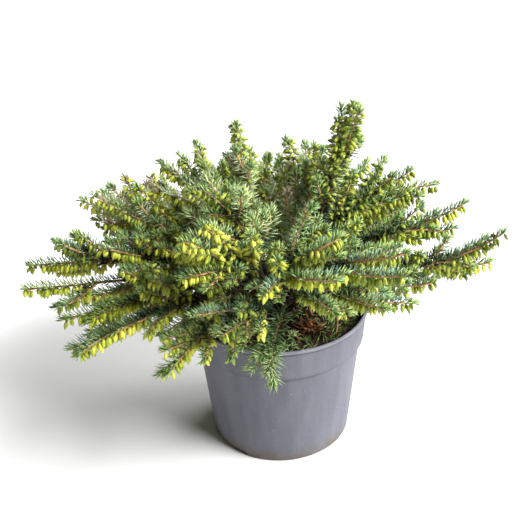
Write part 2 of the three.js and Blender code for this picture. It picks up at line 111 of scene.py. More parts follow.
# Potting mix. Its swells are waves: their weight and number, and their longest and shortest length.
SEAT_GAP = 0.3
SOIL_BELOW_RIM = 12
SOIL_LUMP = 1.6
SOIL_TOP = POT_HEIGHT - SOIL_BELOW_RIM
COLLAR_WIDENING = COLLAR_TOP_RADIUS - COLLAR_FOOT_RADIUS
SOIL_EDGE = COLLAR_TOP_RADIUS - POT_WALL - SOIL_BELOW_RIM * COLLAR_WIDENING / COLLAR_HEIGHT - SEAT_GAP
SOIL_SWELLS = ((0.55, 14, 40, 14), (0.35, 20, 9, 3.5))
SOIL_STEEPNESS = 0.55
SOIL_RINGS = 60
SOIL_SEGMENTS = 200
SOIL_BOTTOM = BODY_TOP + 4
SOIL_BOTTOM_RADIUS = COLLAR_FOOT_RADIUS - POT_WALL - 1

# What lies on the mix, by number and by the range of its lengths, widths and rise
LITTER_EDGE = SOIL_EDGE - 2
LITTER_LIFT = 0.5
CRUMBS = 2600
CRUMBS_FROM = 12
CRUMB_SIZES = (0.8, 3.2)
FALLEN_NEEDLES = (("dead", 340), ("olive", 240), ("green", 420))
FALLEN_NEEDLE = {"lengths": (7, 11), "widths": (0.8, 1.2), "rise": (0, 0.4), "tumble": 0.25}
NEEDLES_FROM = 16
NEEDLES_TO = LITTER_EDGE - 9
FALLEN_LEAVES = 26
LEAVES_FROM = 30
LEAVES_TO = LITTER_EDGE - 12
FALLEN_LEAF_SHAPE = {"lengths": (8, 14), "widths": (1.6, 2.6), "rise": (0, 0.5), "tumble": 0.25}
TUFT_LEAVES = 34
TUFT_PLACE = (28, -34, 130)
TUFT_SPREAD = (3.5, 3, 1.2)
TUFT_SHAPE = {"lengths": (9, 15), "widths": (1.5, 2.6), "rise": (-0.1, 0.7), "tumble": 0.3}
STAR_NEEDLES = 22
STAR_PLACE = (10, -50, 131)
STALK_ENDS = ((51, -42, 126), (55, -36, 152))
STALK_POINTS = 9
LEAF_FOLDS = 4
LEAF_PLACE = (22, -34, 246)
LEAF_HEADING = (1.0, -0.1, 0.45)
MOSS_TUFTS = 24
MOSS_BLADES = 60
MOSS_FROM = 50
MOSS_TO = LITTER_EDGE - 2

# Stock
STOCK_FOOT = SOIL_TOP + SEAT_GAP
STOCK_HEIGHT = 30
STOCK_FLARE_RADIUS = 15
STOCK_WAIST_RADIUS = 9.5
STOCK_TOP_RADIUS = 7
STOCK_FLARE_FALL = 6
STOCK_LEAN = 2.5

# Limbs in three tiers. Each limb is the azimuth, reach from the pot's axis, height, bearing and slope of its
# furthest tip, and how wide its mass may spread from its leading shoot.
TIERS = (
    {
        "name": "skirt",
        "stock_height": 7,
        "launch_out": 40,
        "launch_up": 44,
        "split": 0.27,
        "limbs": (
            (38, 176, 186, 44, 8, 50),
            (88, 178, 178, 84, 2, 50),
            (134, 194, 172, 128, -4, 46),
            (181, 242, 163, 175, -4, 34),
            (197, 204, 162, 189, -9, 38),
            (207, 207, 153, 195, -15, 32),
            (227, 156, 137, 198, -36, 40),
            (246, 136, 180, 206, -14, 44),
            (266, 103, 112, 290, -66, 22),
            (294, 122, 190, 326, -16, 42),
            (315, 132, 182, 350, -12, 42),
            (354, 208, 219, 6, 38, 30),
        ),
    },
    {
        "name": "shoulder",
        "stock_height": 16,
        "launch_out": 28,
        "launch_up": 56,
        "split": 0.25,
        "limbs": (
            (6, 180, 228, 26, 18, 38),
            (52, 160, 226, 58, 18, 46),
            (104, 160, 224, 100, 16, 46),
            (154, 217, 207, 152, 12, 42),
            (175, 240, 174, 171, -7, 32),
            (231, 133, 226, 186, -8, 42),
            (262, 122, 216, 236, -2, 46),
            (293, 130, 228, 350, 2, 44),
            (328, 134, 226, 14, 6, 42),
        ),
    },
    {
        "name": "upper",
        "stock_height": 26,
        "launch_out": 18,
        "launch_up": 46,
        "split": 0.2,
        "limbs": (
            (12, 73, 335, 60, 74, 17),
            (20, 140, 250, 40, 14, 38),
            (66, 100, 262, 84, 46, 34),
            (120, 69, 300, 106, 60, 14),
            (144, 112, 266, 132, 30, 36),
            (200, 72, 272, 156, 26, 38),
            (301, 105, 254, 24, 16, 42),
        ),
    },
)
TIP_PULL = 0.42
BOUGH_SEAT = 0.36
BOUGH_FOOT_RADIUS = 2.2
BOUGH_TIP_RADIUS = 1.4

# The rule of the first side shoots, as in the solids
SEED = 1911
SEED_STEP = 101
SIDE_SHOOTS = 13
FIRST_SIDE_SHOOT = 0.03
SIDE_SHOOT_SPAN = 0.66
SIDE_SHOOT_PLAY = 0.6
SPREAD_AT_FOOT = 78 * DEGREE
SPREAD_AT_TIP = 26 * DEGREE
SPREAD_PLAY = 14 * DEGREE
UPTURN = 0.35
SHOOT_LENGTH_LOW = 0.62
SHOOT_LENGTH_HIGH = 0.96
SHORTENINGS = (1, 0.84, 0.7, 0.56, 0.44)
STEM_RADIUS = 1.2
CORE_RADIUS = 4.4
CORE_SIDES = 3
CORE_GROWN_BY = 0.12
CORE_AT_TIP = 0.6
SECTION_LENGTH = 13
TIP_LENGTH = 7
SPACE_MARGIN = 0.3
LIMB_MARGIN = 0.5
POT_MARGIN = 2
RIM_BAND = 7.4
PATH_SAMPLES = 16

# The rule carried on: long side shoots in the room that is left, and then short leafy twigs. Narrow masses
# grow their shoots closer together and steeper. At the front and the right they are steeper too.
FINE_SHOOTS = 40
FINE_SHOOT_SPAN = 0.8
FINE_SPREAD_AT_FOOT = 52 * DEGREE
FINE_SPREAD_AT_TIP = 24 * DEGREE
FINE_LENGTH_LOW = 62
FINE_LENGTH_HIGH = 112
FINE_LENGTH_CAP = 1.1
FINE_LENGTH_CAP_END = 1.02
FINE_CLEARANCE = 13.0
FINE_SLACK = 5.0
SHORTEST_FINE_SHOOT = 44
BROAD_WIDTH = 38
NARROWEST = 0.5
FRONT_SPREAD = 0.7
RIGHT_SPREAD = 0.8
FRONT_AZIMUTHS = (215, 345)
RIGHT_UP_TO = 30
LEFT_AZIMUTHS = (120, 250)
NEEDLE_ROOM = np.array([9.5, 9.0, 7.0])
TWIGS = 2
TWIG_FROM = 0.06
TWIG_SPAN = 0.36
TWIG_SPREAD = 38 * DEGREE
TWIG_SPREAD_LEAST = 0.8
TWIG_SPREAD_PLAY = 0.4
TWIG_LENGTH_LOW = 30
TWIG_LENGTH_HIGH = 56
TWIG_CLEARANCE = 10.0
SHORTEST_TWIG = 26

# Shoots that reach for a tip of their own, by mass: the share where they leave its leading shoot, and the
# tip. Each stands in the space of its own mass.
AIMED_SHOOTS = {
    "skirt_02": ((0.1, -12, 98, 147), (0.05, -4, 104, 155), (0.05, -19, 86, 145), (0.2, -14, 60, 160)),
    "skirt_05": ((0.5, -175, -60, 157), (0.4, -166, -50, 170)),
    "skirt_06": (
        (0.55, -176, -92, 146), (0.3, -109, -74, 160), (0.35, -114, -96, 165), (0.7, -176, -104, 152),
    ),
    "skirt_07": ((0.5, -99, -117, 139), (0.45, -104, -108, 158), (0.35, -104, -100, 167)),
    "skirt_08": ((0.4, -35, -114, 204),),
    "skirt_09": (
        (0.42, -30, -101, 129), (0.5, -14, -108, 128), (0.35, -26, -98, 139), (0.45, -11, -108, 137),
    ),
    "skirt_10": ((0.5, 62, -104, 186),),
    "skirt_11": ((0.5, 118, -84, 183), (0.4, 85, -70, 196)),
    "skirt_12": ((0.35, 127, -20, 193), (0.5, 172, -22, 173), (0.6, 179, -26, 180), (0.3, 131, -26, 201)),
    "shoulder_01": ((0.35, 137, 2, 199), (0.5, 150, 0, 208), (0.35, 137, 14, 231), (0.2, 119, 12, 221)),
    "shoulder_04": ((0.45, -145, 80, 240), (0.5, -179, 60, 200), (0.6, -172, 90, 220)),
    "shoulder_06": ((0.5, -27, -90, 224),),
    "shoulder_07": ((0.4, -2, -98, 241),),
    "upper_01": ((0.36, 60, 16, 329), (0.6, 75, 0, 331), (0.3, 57, 12, 318)),
    "upper_02": (
        (0.3, 106, 58, 259), (0.2, 112, 24, 257), (0.3, 131, 30, 235), (0.3, 110, 20, 230),
        (0.2, 73, 34, 258), (0.5, 154, 36, 237), (0.4, 140, 30, 228), (0.3, 99, 34, 261),
    ),
    "upper_03": ((0.25, 12, 90, 270), (0.35, 31, 88, 266), (0.05, 4, 82, 250), (0.3, 47, 66, 257)),
    "upper_04": ((0.2, -39, 59, 262),),
    "upper_05": ((0.35, -110, 72, 254), (0.3, -73, 74, 275), (0.2, -105, 58, 256), (0.1, -115, 54, 234)),
    "upper_06": ((0.05, -12, -28, 208),),
    "upper_07": ((0.45, 34, -60, 248), (0.1, 2, -24, 214), (0.05, -4, -62, 233), (0.1, -8, -40, 219)),
}
AIMED_PULL = 0.45
BUDLESS_TIPS = ((60, 16, 329), (106, 58, 259), (31, 88, 266))

# Masses with a look of their own. Only the leafy one hangs lower than the lowest tip.
LONE_SPIRES = ("upper_01", "upper_04")
PALE_MASSES = ("upper_06",)
LEAFY_MASSES = ("skirt_09",)
LOWEST_TIP = 127
LEAFY_LOWEST_SIDE_TIP = POT_HEIGHT + 8
FRONT_MASSES = ("skirt_08", "skirt_10", "shoulder_07", "shoulder_08")
# Deep masses darken more of their inner needles: older needles, and painted shade deep in the crown.
DEEP_MASSES = ("upper_06", "shoulder_06", "shoulder_07", "skirt_08")
BACK_MASSES = ("upper_03", "upper_04", "upper_05", "shoulder_03", "shoulder_04", "skirt_02", "skirt_03")
FEW_BUDS = ("shoulder_07", "skirt_08", "upper_06", "upper_07")
MANY_BUDS = ("shoulder_05", "skirt_04", "skirt_05", "skirt_06")

# To the viewer's right the mix lies open: there the shoots keep above a plane that rises towards the viewer
OPEN_FROM_X = 6
OPEN_HEIGHT = 120
OPEN_RISE = 0.62

# Round gaps between the shoots where the photograph shows sky: across, down and radius in its pixels
SKY_GAPS = (
    (40, 233, 7), (60, 229, 6), (62, 279, 4), (78, 279, 4), (94, 279, 4), (110, 279, 4), (82, 201, 5),
    (80, 213, 5), (90, 178, 5), (180, 156, 6), (98, 361, 6), (114, 352, 7), (130, 344, 7), (142, 338, 6),
    (488, 218, 6), (478, 228, 6), (462, 240, 5), (446, 179, 6), (458, 194, 4), (430, 298, 6), (446, 291, 6),
    (415, 262, 3), (367, 122, 4), (367, 172, 5), (272, 141, 5), (66, 329, 4), (144, 355, 4), (226, 143, 4),
    (300, 368, 6), (188, 366, 5), (375, 140, 6), (250, 132, 6), (214, 158, 4), (114, 176, 4),
)
GAP_MARGIN = 4

# Finer shoots don't hide the outer part of a leading or an aimed shoot from the viewer, and don't point
# straight at the viewer. One hides it that stands within some pixels of it and some way nearer the viewer.
LEADER_CLEAR = 6
LEADER_DEPTH = 3
LEADER_OUTER = np.linspace(0.55, 1, 12)
AIMED_OUTER = np.linspace(0.38, 1, 16)
FACING_LIMIT = 0.7

# Places on a shoot that are tested: for its mass's space, for the sky, for what it hides, and for its room
SPACE_TESTS = np.linspace(0.3, 1, 6)
SKY_TESTS = np.linspace(0.3, 1, 14)
HIDING_TESTS = np.linspace(0.2, 1, 14)
ROOM_TESTS = (0.5, 0.75, 1.0)

# Needles stand in whorls of four, and each whorl is turned half a step from the last. Along a level shoot
# they rise. Rings give a needle's and a bud's shape: the share of its length, its swelling, and for a needle
# how far it is lifted.
WHORL_STEP = 2.6
WHORL_COUNT = 4
NEEDLE_LENGTH = 10.6
NEEDLE_WIDTH = 1.32
NEEDLE_THICKNESS = 0.75
NEEDLE_RINGS = ((0.0, 0.45, 0.0), (0.5, 1.0, 0.05))
NEEDLE_TIP_LIFT = 0.16
NEEDLE_LEAN = 66 * DEGREE
NEEDLE_LEAN_AT_TIP = 28 * DEGREE
NEEDLE_RISE = 1.0
NEEDLE_TIP_FREE = 1.5
NEEDLE_OUT = 0.5
NEEDLE_TURN_PLAY = 0.22
NEEDLE_PLACE_PLAY = 0.7
NEEDLE_LEAN_PLAY = 0.12
NEEDLE_LENGTHS = (0.82, 1.12)
NEEDLE_WIDTHS = (0.85, 1.15)
ERECT_FROM = 0.35
ERECT_SPAN = 0.45
TUFT_LENGTH = 12
TUFT_SHARE = 0.6
TUFT_STEP = 0.7
TUFT_TINTED = 0.8
YOUNG_SHORTER = 0.3
TIP_LEAVES = 3.5
# Needles this far from a shoot's tip, or past a share of its length, take an inner tint:
# darker as older needles and as painted shade deep in the crown. Deep masses take it from a smaller share.
INNER_FROM = 74
INNER_SHARE = 0.66
DEEP_INNER_SHARE = 0.5
INNER_PLAY = 6
BOX_MARGIN = 1.8

# Buds hang in a dense row from the outer part of a shoot, in clusters, and few needles stand among them
BUD_ZONE = 74
BUD_ZONES = (0.75, 1.1)
BUD_ZONE_SHARE = 0.85
BUD_TIP_FREE = 1.5
ROW_MARGIN = 4
ROW_BELOW = 0.45
ROW_ERECT = 0.5
ROW_CLEARED = 0.9
SHORTEST_WITH_BUDS = 38
CLUSTER_STEP = 4.6
CLOSE_CLUSTER_STEP = 3.7
CLUSTER_PLACES = (-0.85, 0.0, 0.85)
CLUSTER_BUDS = len(CLUSTER_PLACES)
CLUSTER_PLAY = (0.1, 0.9)
CLUSTER_SCATTER = 0.9
CLUSTER_TURN_PLAY = 0.3
ERECT_MORE = 0.5
BUD_KEPT = 0.93
BUD_LENGTH = 8.9
BUD_RADIUS = 2.25
BUD_POINTS = 6
BUD_RINGS = ((0.0, 0.36), (0.34, 1.0), (0.7, 0.66))
SEPAL_FURROW = 0.84
BUD_LENGTHS = (0.78, 1.1)
BUD_RADII = (0.82, 1.08)
SMALL_BUDS_TO = 16
SMALLEST_BUD = 0.84
BUD_THINNING = 0.7
BUD_ON_STALK = 0.4
STALK_LENGTH = 2.4
STALK_RADIUS = 0.3

# A stem's scars of old leaves, and the bark's relief on the stock and on the boughs: corners round, and depth
SCAR_STEP = 3.4
SCAR_DEPTH = 0.3
STEM_SIDES = 5
LEADING_STEM_RADIUS = 1.3
SIDE_STEM_RADIUS = 1.12
STEM_AT_FOOT = 1.15
STEM_TAPER = 0.45
STEM_END = 0.4
STEM_TIP_FREE = 1.5
BARK_RIDGES = 9
STOCK_BARK = (96, 0.05)
BOUGH_BARK = (12, 0.06)
STOCK_SLIMMER = 0.06
STOCK_ROWS = 46
BOUGH_ROWS = 24
BOUGH_SUNK = 0.02
BOUGH_FLARE = 0.35
BOUGH_FLARE_FALL = 14

# Tints that shoots are dealt, with the weight of each, and the chance of buds by a shoot's order
LEFT_TINTS = (("green", 0.38), ("olive", 0.24), ("deep", 0.22), ("blue", 0.16))
RIGHT_TINTS = (("deep", 0.2), ("green", 0.5), ("blue", 0.14), ("olive", 0.16))
# The back masses are dealt mostly the pale hazy tint: painted light on shoots that lie in shade.
BACK_TINTS = (("hazy", 0.8), ("green", 0.1), ("olive", 0.1))
TIP_TINTS = (("olive", 0.35), ("green", 0.65))
# Buds at the right take darker tints, painted shade where the key light falls strongest;
# those at the left and the front take lighter ones, partly painted light on the shaded side.
LEFT_BUDS = (("lime", 0.5), ("yellow", 0.3), ("green", 0.2))
RIGHT_BUDS = (("dull", 0.6), ("green", 0.25), ("lime", 0.15))
ROSY_SHARE = 0.22
PALE_SHARE = 0.85
BUD_CHANCES = (1.0, 0.95, 0.5)
FEW_BUD_CHANCES = (1.0, 0.6, 0.15)
RIGHT_TWIG_CHANCE = 0.3

# The darkest and the lightest colour of each tint, from 0 to 255 a channel
NEEDLE_COLOURS = {
    # dark: the inner needles' tint, for older needles and as painted shade deep in the crown
    "dark": ((12, 27, 12), (42, 68, 36)),
    "deep": ((54, 86, 48), (122, 154, 100)),
    "green": ((80, 116, 60), (166, 194, 122)),
    "blue": ((72, 108, 80), (158, 188, 154)),
    "olive": ((96, 128, 58), (172, 194, 110)),
    "pale": ((124, 154, 94), (196, 214, 148)),
    # hazy: pale, as painted light on the back masses in shade; the budless tips take it too
    "hazy": ((160, 178, 138), (214, 224, 182)),
    "rosy": ((142, 132, 100), (198, 186, 150)),
    "dead": ((58, 34, 22), (112, 74, 46)),
}
BUD_COLOURS = {
    "lime": ((124, 138, 22), (208, 214, 72)),
    "yellow": ((146, 152, 32), (222, 220, 90)),
    "green": ((100, 122, 24), (180, 190, 68)),
    # dull: darker buds, painted shade on the masses at the right
    "dull": ((100, 112, 22), (172, 180, 58)),
}

# Light and stage: each sun's name, direction and strength
WORLD_STRENGTH = 0.08
SUN_SOFTNESS = 32 * DEGREE
SUNS = (
    ("key", (0.63, -0.39, 0.67), 5.2),
    ("side", (0.91, 0.0, 0.41), 2.6),
    ("rear", (0.53, 0.53, 0.67), 2.3),
)
FLOOR_SIZE = 12000
FLOOR_DROP = 0.5


def unit(v):
    return v / np.linalg.norm(v, axis=-1, keepdims=True)


def level(turn):
    return np.array([math.cos(turn), math.sin(turn), 0.0])


def seeded_random(seed):
    """The source's generator: numbers from 0 to 1 that are the same for the same seed."""
    whole = 0xFFFFFFFF
    state = seed & whole

    def draw():
        nonlocal state
        state = (state + 0x6D2B79F5) & whole
        mixed = ((state ^ (state >> 15)) * (state | 1)) & whole
        mixed ^= (mixed + (mixed ^ (mixed >> 7)) * (mixed | 61)) & whole
        return ((mixed ^ (mixed >> 14)) & whole) / 2**32

    return draw


def frames_across(directions, side):
    """Vectors across each direction: the side vector turned square to it, and the vector above the two."""
    d = np.atleast_2d(directions)
    right = unit(side - d * (d * side).sum(1, keepdims=True))
    return right, np.cross(right, d)


def frames_of(directions):
    """Vectors across each direction where a twist does no harm: one level, and one on its upper side."""
    d = np.atleast_2d(directions)
    upright = np.abs(d[:, 2:]) > 0.99
    reference = np.where(upright, [[1.0, 0.0, 0.0]], [[0.0, 0.0, 1.0]])
    right = unit(np.cross(d, reference))
    return right, np.cross(right, d)


def level_frames(count):
    """Vectors across an upright line, at a number of places on it."""
    return np.tile([1.0, 0, 0], (count, 1)), np.tile([0, 1.0, 0], (count, 1))


class Line:
    """A stretch of a Bezier curve of three or four points. Its side is level and square to its chord."""

    def __init__(self, *points, start=0.0, end=1.0):
        self.points = np.array(points, float)
        self.start = start
        self.end = end
        fine = self.at(np.linspace(0, 1, 201))
        self.length = float(np.linalg.norm(np.diff(fine, axis=0), axis=1).sum())
        way = fine[-1] - fine[0]
        self.side = unit(np.array([way[1], -way[0], 0.0]))

    def on_curve(self, shares):
        return self.start + (self.end - self.start) * np.atleast_1d(shares)[:, None]

    def at(self, shares):
        t = self.on_curve(shares)
        p = self.points
        if len(p) == 3:
            return (1 - t) ** 2 * p[0] + 2 * t * (1 - t) * p[1] + t**2 * p[2]
        return (1 - t) ** 3 * p[0] + 3 * t * (1 - t) ** 2 * p[1] + 3 * t**2 * (1 - t) * p[2] + t**3 * p[3]

    def tangents(self, shares):
        t = self.on_curve(shares)
        p = self.points
        if len(p) == 3:
            return unit((1 - t) * (p[1] - p[0]) + t * (p[2] - p[1]))
        return unit((1 - t) ** 2 * (p[1] - p[0]) + 2 * t * (1 - t) * (p[2] - p[1]) + t**2 * (p[3] - p[2]))

    def frames(self, shares):
        return frames_across(self.tangents(shares), self.side)


def path_of(line):
    return line.at(np.linspace(0, 1, PATH_SAMPLES + 1))


# Stock and limbs, as in the solids


def stock_radius(share):
    waist = STOCK_WAIST_RADIUS + (STOCK_TOP_RADIUS - STOCK_WAIST_RADIUS) * share
    return waist + (STOCK_FLARE_RADIUS - STOCK_WAIST_RADIUS) * np.exp(-STOCK_FLARE_FALL * share)


def stock_centre(share):
    return np.array([-STOCK_LEAN * share, 0.5 * STOCK_LEAN * share, STOCK_FOOT + STOCK_HEIGHT * share])


def limb_points(tier, index):
    """The four points of a limb's curve, from its seat on the stock to the tip of its mass."""
    azimuth, reach, height, bearing, slope, _ = tier["limbs"][index]
    count = len(tier["limbs"])
    spacing = 360 / count
    offset = sum(limb[0] - spacing * i for i, limb in enumerate(tier["limbs"])) / count
    out_at_foot = level((offset + spacing * index) * DEGREE)
    out = level(azimuth * DEGREE)
    share = tier["stock_height"] / STOCK_HEIGHT
    launch = (out_at_foot + out) * tier["launch_out"] / 2 + UP * tier["launch_up"]
    foot_half_height = BOUGH_FOOT_RADIUS * np.linalg.norm(launch) / (launch @ out_at_foot)
    ends = (max(0, share - foot_half_height / STOCK_HEIGHT), min(1, share + foot_half_height / STOCK_HEIGHT))
    reaches = [stock_radius(end) + (stock_centre(end) - stock_centre(share)) @ out_at_foot for end in ends]
    foot = stock_centre(share) + out_at_foot * (max(reaches) + BOUGH_SEAT)
    tip = out * reach + UP * height
    heading = level(bearing * DEGREE) * math.cos(slope * DEGREE) + UP * math.sin(slope * DEGREE)
    before = tip - heading * TIP_PULL * np.linalg.norm(tip - foot)
    return foot, foot + launch, before, tip


def make_limb(tier, index):
    """A limb: its bare bough, and the leading shoot of its mass, which runs on one seat gap further."""
    points = limb_points(tier, index)
    length = Line(*points).length
    start = tier["split"] + SEAT_GAP / length
    return {
        "name": f"{tier['name']}_{index + 1:02d}",
        "azimuth": tier["limbs"][index][0],
        "width": tier["limbs"][index][5],
        "bough": Line(*points, end=tier["split"]),
        "leader": Line(*points, start=start),
        "leader_length": length * (1 - start),
    }


LIMBS = [make_limb(tier, index) for tier in TIERS for index in range(len(tier["limbs"]))]
LEADER_PATHS = np.array([path_of(limb["leader"]) for limb in LIMBS])
BOUGH_PATHS = np.array([path_of(limb["bough"]) for limb in LIMBS])


# Where shoots may grow


def path_distances(points, paths):
    """The distance from each point to each path."""
    start = paths[:, :-1]
    run = paths[:, 1:] - start
    offset = points[:, None, None, :] - start
    share = np.clip((offset * run).sum(-1) / (run * run).sum(-1), 0, 1)
    return np.linalg.norm(offset - share[..., None] * run, axis=-1).min(-1)


def clear_of_pot(points):
    radius = np.hypot(points[:, 0], points[:, 1])
    low = points[:, 2] < SOIL_TOP + SOIL_LUMP + POT_MARGIN
    over_rim = (radius > RIM_RADIUS - RIM_BAND) & (radius < RIM_RADIUS + POT_MARGIN)
    above_rim = points[:, 2] > POT_HEIGHT + POT_MARGIN
    return np.where(low, radius > RIM_RADIUS + POT_MARGIN, ~over_rim | above_rim)


def in_space(points, own, slack=0.0):
    """Whether all points lie in a mass's space. Slack is how far finer twigs may reach past its edge."""
    points = np.atleast_2d(points)
    if not clear_of_pot(points).all():
        return False
    to_leaders = path_distances(points, LEADER_PATHS)
    home = to_leaders[:, own].copy()
    if (home > LIMBS[own]["width"] + slack).any():
        return False
    if (path_distances(points, BOUGH_PATHS) < BOUGH_FOOT_RADIUS + LIMB_MARGIN).any():
        return False
    to_leaders[:, own] = np.inf
    return bool((to_leaders.min(1) + slack > home + 2 * SPACE_MARGIN).all())


def within_box(points, room):
    """Which points lie inside the solids' box, with room to spare."""
    low, high = (np.array(corner) / MM for corner in CAD_BOX)
    return ((points > low + room) & (points < high - room)).all(-1)


def has_room(line, paths, clearance):
    """Whether a shoot's outer half keeps its distance from the shoots that are there."""
    return path_distances(line.at(ROOM_TESTS), np.array(paths)).min() > clearance


def keeps_open(points, own):
    """Whether a shoot leaves the mix open where the photograph shows it, and doesn't hang too low."""
    lowest = OPEN_HEIGHT - OPEN_RISE * np.minimum(points[:, 1], 0)
    high = ((points[:, 0] < OPEN_FROM_X) | (points[:, 2] > lowest)).all()
    return bool(high and (points[:, 2].min() > LOWEST_TIP or LIMBS[own]["name"] in LEAFY_MASSES))


def picture_places(points):
    """Where points stand in the photograph, in its pixels."""
    offset = points - CAMERA_PLACE
    scale = FOCAL_PIXELS / (offset @ CAMERA_AHEAD)
    across = scale * offset[:, 0]
    down = -scale * (offset @ CAMERA_UP)
    cos, sin = math.cos(CAMERA_ROLL), math.sin(CAMERA_ROLL)
    return np.stack([across * cos - down * sin, across * sin + down * cos], 1) + PHOTO_WIDTH / 2


def camera_depths(points):
    return (points - CAMERA_TARGET) @ CAMERA_AHEAD


def faces_viewer(line):
    """Whether a shoot points straight at the viewer. The photograph shows few that do."""
    return bool(line.tangents(1)[0] @ -CAMERA_AHEAD > FACING_LIMIT)


def shows_sky(line):
    """Whether a shoot leaves the sky's gaps free."""
    gaps = np.array(SKY_GAPS, float)
    distances = np.linalg.norm(picture_places(line.at(SKY_TESTS))[:, None] - gaps[None, :, :2], axis=2)
    return bool((distances > gaps[:, 2] + GAP_MARGIN).all())


def shows_leaders(line):
    """Whether a shoot leaves the leading and the aimed shoots behind it in sight."""
    points = line.at(HIDING_TESTS)
    nearer = camera_depths(points)[:, None] < LEADER_DEPTHS[None] - LEADER_DEPTH
    distances = np.linalg.norm(picture_places(points)[:, None] - LEADER_PLACES[None], axis=2)
    return not bool((nearer & (distances < LEADER_CLEAR)).any())


# Shoots of a mass


def core_points(line, length):
    """The corners of a shoot's core in the solids, which the source tests against the mass's space."""
    leafy = 1 - TIP_LENGTH / length
    sections = max(2, math.floor(length * leafy / SECTION_LENGTH + 0.5))
    shares = np.arange(sections + 1) / sections * leafy
    swelling = np.minimum(1, shares / CORE_GROWN_BY)
    narrowing = 1 - (1 - CORE_AT_TIP) * shares**3
    radius = STEM_RADIUS + (CORE_RADIUS - STEM_RADIUS) * swelling * narrowing
    right, above = line.frames(shares)
    turns = 2 * math.pi * (np.arange(CORE_SIDES) + 0.5) / CORE_SIDES
    ring = above[:, None] * np.sin(turns)[None, :, None] - right[:, None] * np.cos(turns)[None, :, None]
    return (line.at(shares)[:, None] + ring * radius[:, None, None]).reshape(-1, 3)


def shoot_from(parent, share, spread, turn, length, lead):
    """A shoot that leaves its parent at a spread, and then turns along the leading direction and up."""
    start = parent.at(share)[0]
    ahead = parent.tangents(share)[0]
    right, above = (across[0] for across in parent.frames(share))
    leaving = ahead * math.cos(spread) + math.sin(spread) * (right * math.cos(turn) + above * math.sin(turn))
    arriving = unit(leaving + lead + UPTURN * UP)
    middle = start + leaving * length / 2
    return Line(start, middle, middle + arriving * length / 2)


def first_side_shoots(own, draw):
    """The side shoots that the solids have too."""
    leader = LIMBS[own]["leader"]
    lines = []
    for order in range(SIDE_SHOOTS):
        draws = [draw(), draw(), draw()]
        share = FIRST_SIDE_SHOOT + SIDE_SHOOT_SPAN * (order + SIDE_SHOOT_PLAY * draws[0]) / SIDE_SHOOTS
        spread = SPREAD_AT_FOOT + (SPREAD_AT_TIP - SPREAD_AT_FOOT) * share + SPREAD_PLAY * (draws[1] - 0.5)
        turn = order * GOLDEN_ANGLE + draws[2]
        part = SHOOT_LENGTH_LOW + (SHOOT_LENGTH_HIGH - SHOOT_LENGTH_LOW) * draws[2]
        full = LIMBS[own]["leader_length"] * (1 - share) * part
        for shortening in SHORTENINGS:
            length = full * shortening
            line = shoot_from(leader, share, spread, turn, length, leader.tangents(1)[0])
            if in_space(np.vstack([core_points(line, length), line.at(1)]), own):
                lines.append(line)
                break
    return lines


def is_shown(line, own):
    """Whether a side shoot that the solids have is drawn too."""
    points = line.at(SPACE_TESTS)
    if LIMBS[own]["name"] in LEAFY_MASSES and points[-1, 2] < LEAFY_LOWEST_SIDE_TIP:
        return False
    return keeps_open(points, own) and shows_sky(line) and shows_leaders(line)


def aimed_shoots(limb):
    """The shoots of a limb that reach for a tip of their own."""
    shoots = []
    for share, *tip in AIMED_SHOOTS.get(limb["name"], ()):
        start = limb["leader"].at(share)[0]
        ahead = limb["leader"].tangents(share)[0]
        reach = AIMED_PULL * np.linalg.norm(np.array(tip) - start)
        line = Line(start, start + ahead * reach, tip)
        shoots.append({"line": line, "order": 1, "aimed": True, "budless": tuple(tip) in BUDLESS_TIPS})
    return shoots


def shown_rows():
    """Places on the outer parts of the leading and the aimed shoots that finer shoots leave in sight."""
    limbs = [limb for limb in LIMBS if limb["name"] not in BACK_MASSES]
    rows = [limb["leader"].at(LEADER_OUTER) for limb in limbs]
    rows += [shoot["line"].at(AIMED_OUTER) for limb in limbs for shoot in aimed_shoots(limb)]
    return np.concatenate(rows)


LEADER_PLACES = picture_places(shown_rows())
LEADER_DEPTHS = camera_depths(shown_rows())


def grown(parent, own, share, spread, turn, length, shortest):
    """One finer shoot of a parent, or None where no length of it fits the mass's space."""
    for shortening in SHORTENINGS:
        reach = length * shortening
        if reach < shortest:
            return None
        line = shoot_from(parent, share, spread, turn, reach, parent.tangents(1)[0])
        points = line.at(SPACE_TESTS)
        fits = within_box(points, NEEDLE_ROOM).all() and keeps_open(points, own)
        fits = fits and in_space(points, own, FINE_SLACK)
        if fits and shows_sky(line) and shows_leaders(line) and not faces_viewer(line):
            return line
    return None


def steepness(azimuth):
    """What a fine shoot's spread is multiplied by, for steeper shoots at the right and the front."""
    if azimuth > FRONT_AZIMUTHS[1] or azimuth < RIGHT_UP_TO:
        return RIGHT_SPREAD
    return FRONT_SPREAD if FRONT_AZIMUTHS[0] < azimuth < FRONT_AZIMUTHS[1] else 1.0


def add_fine_shoots(shoots, paths, own, draw, narrow):
    """Long side shoots of the leading shoot, in the room that is left."""
    limb = LIMBS[own]
    for order in range(FINE_SHOOTS):
        share = FINE_SHOOT_SPAN * (order + draw()) / FINE_SHOOTS
        spread = FINE_SPREAD_AT_FOOT + (FINE_SPREAD_AT_TIP - FINE_SPREAD_AT_FOOT) * share
        spread = (spread + SPREAD_PLAY * (draw() - 0.5)) * narrow * steepness(limb["azimuth"])
        length = FINE_LENGTH_LOW + (FINE_LENGTH_HIGH - FINE_LENGTH_LOW) * draw()
        length = min(length, FINE_LENGTH_CAP * limb["leader_length"] * (FINE_LENGTH_CAP_END - share))
        turn = order * GOLDEN_ANGLE + draw()
        line = grown(limb["leader"], own, share, spread, turn, length, SHORTEST_FINE_SHOOT)
        if line is not None and has_room(line, paths, FINE_CLEARANCE * narrow):
            shoots.append({"line": line, "order": 1})
            paths.append(path_of(line))


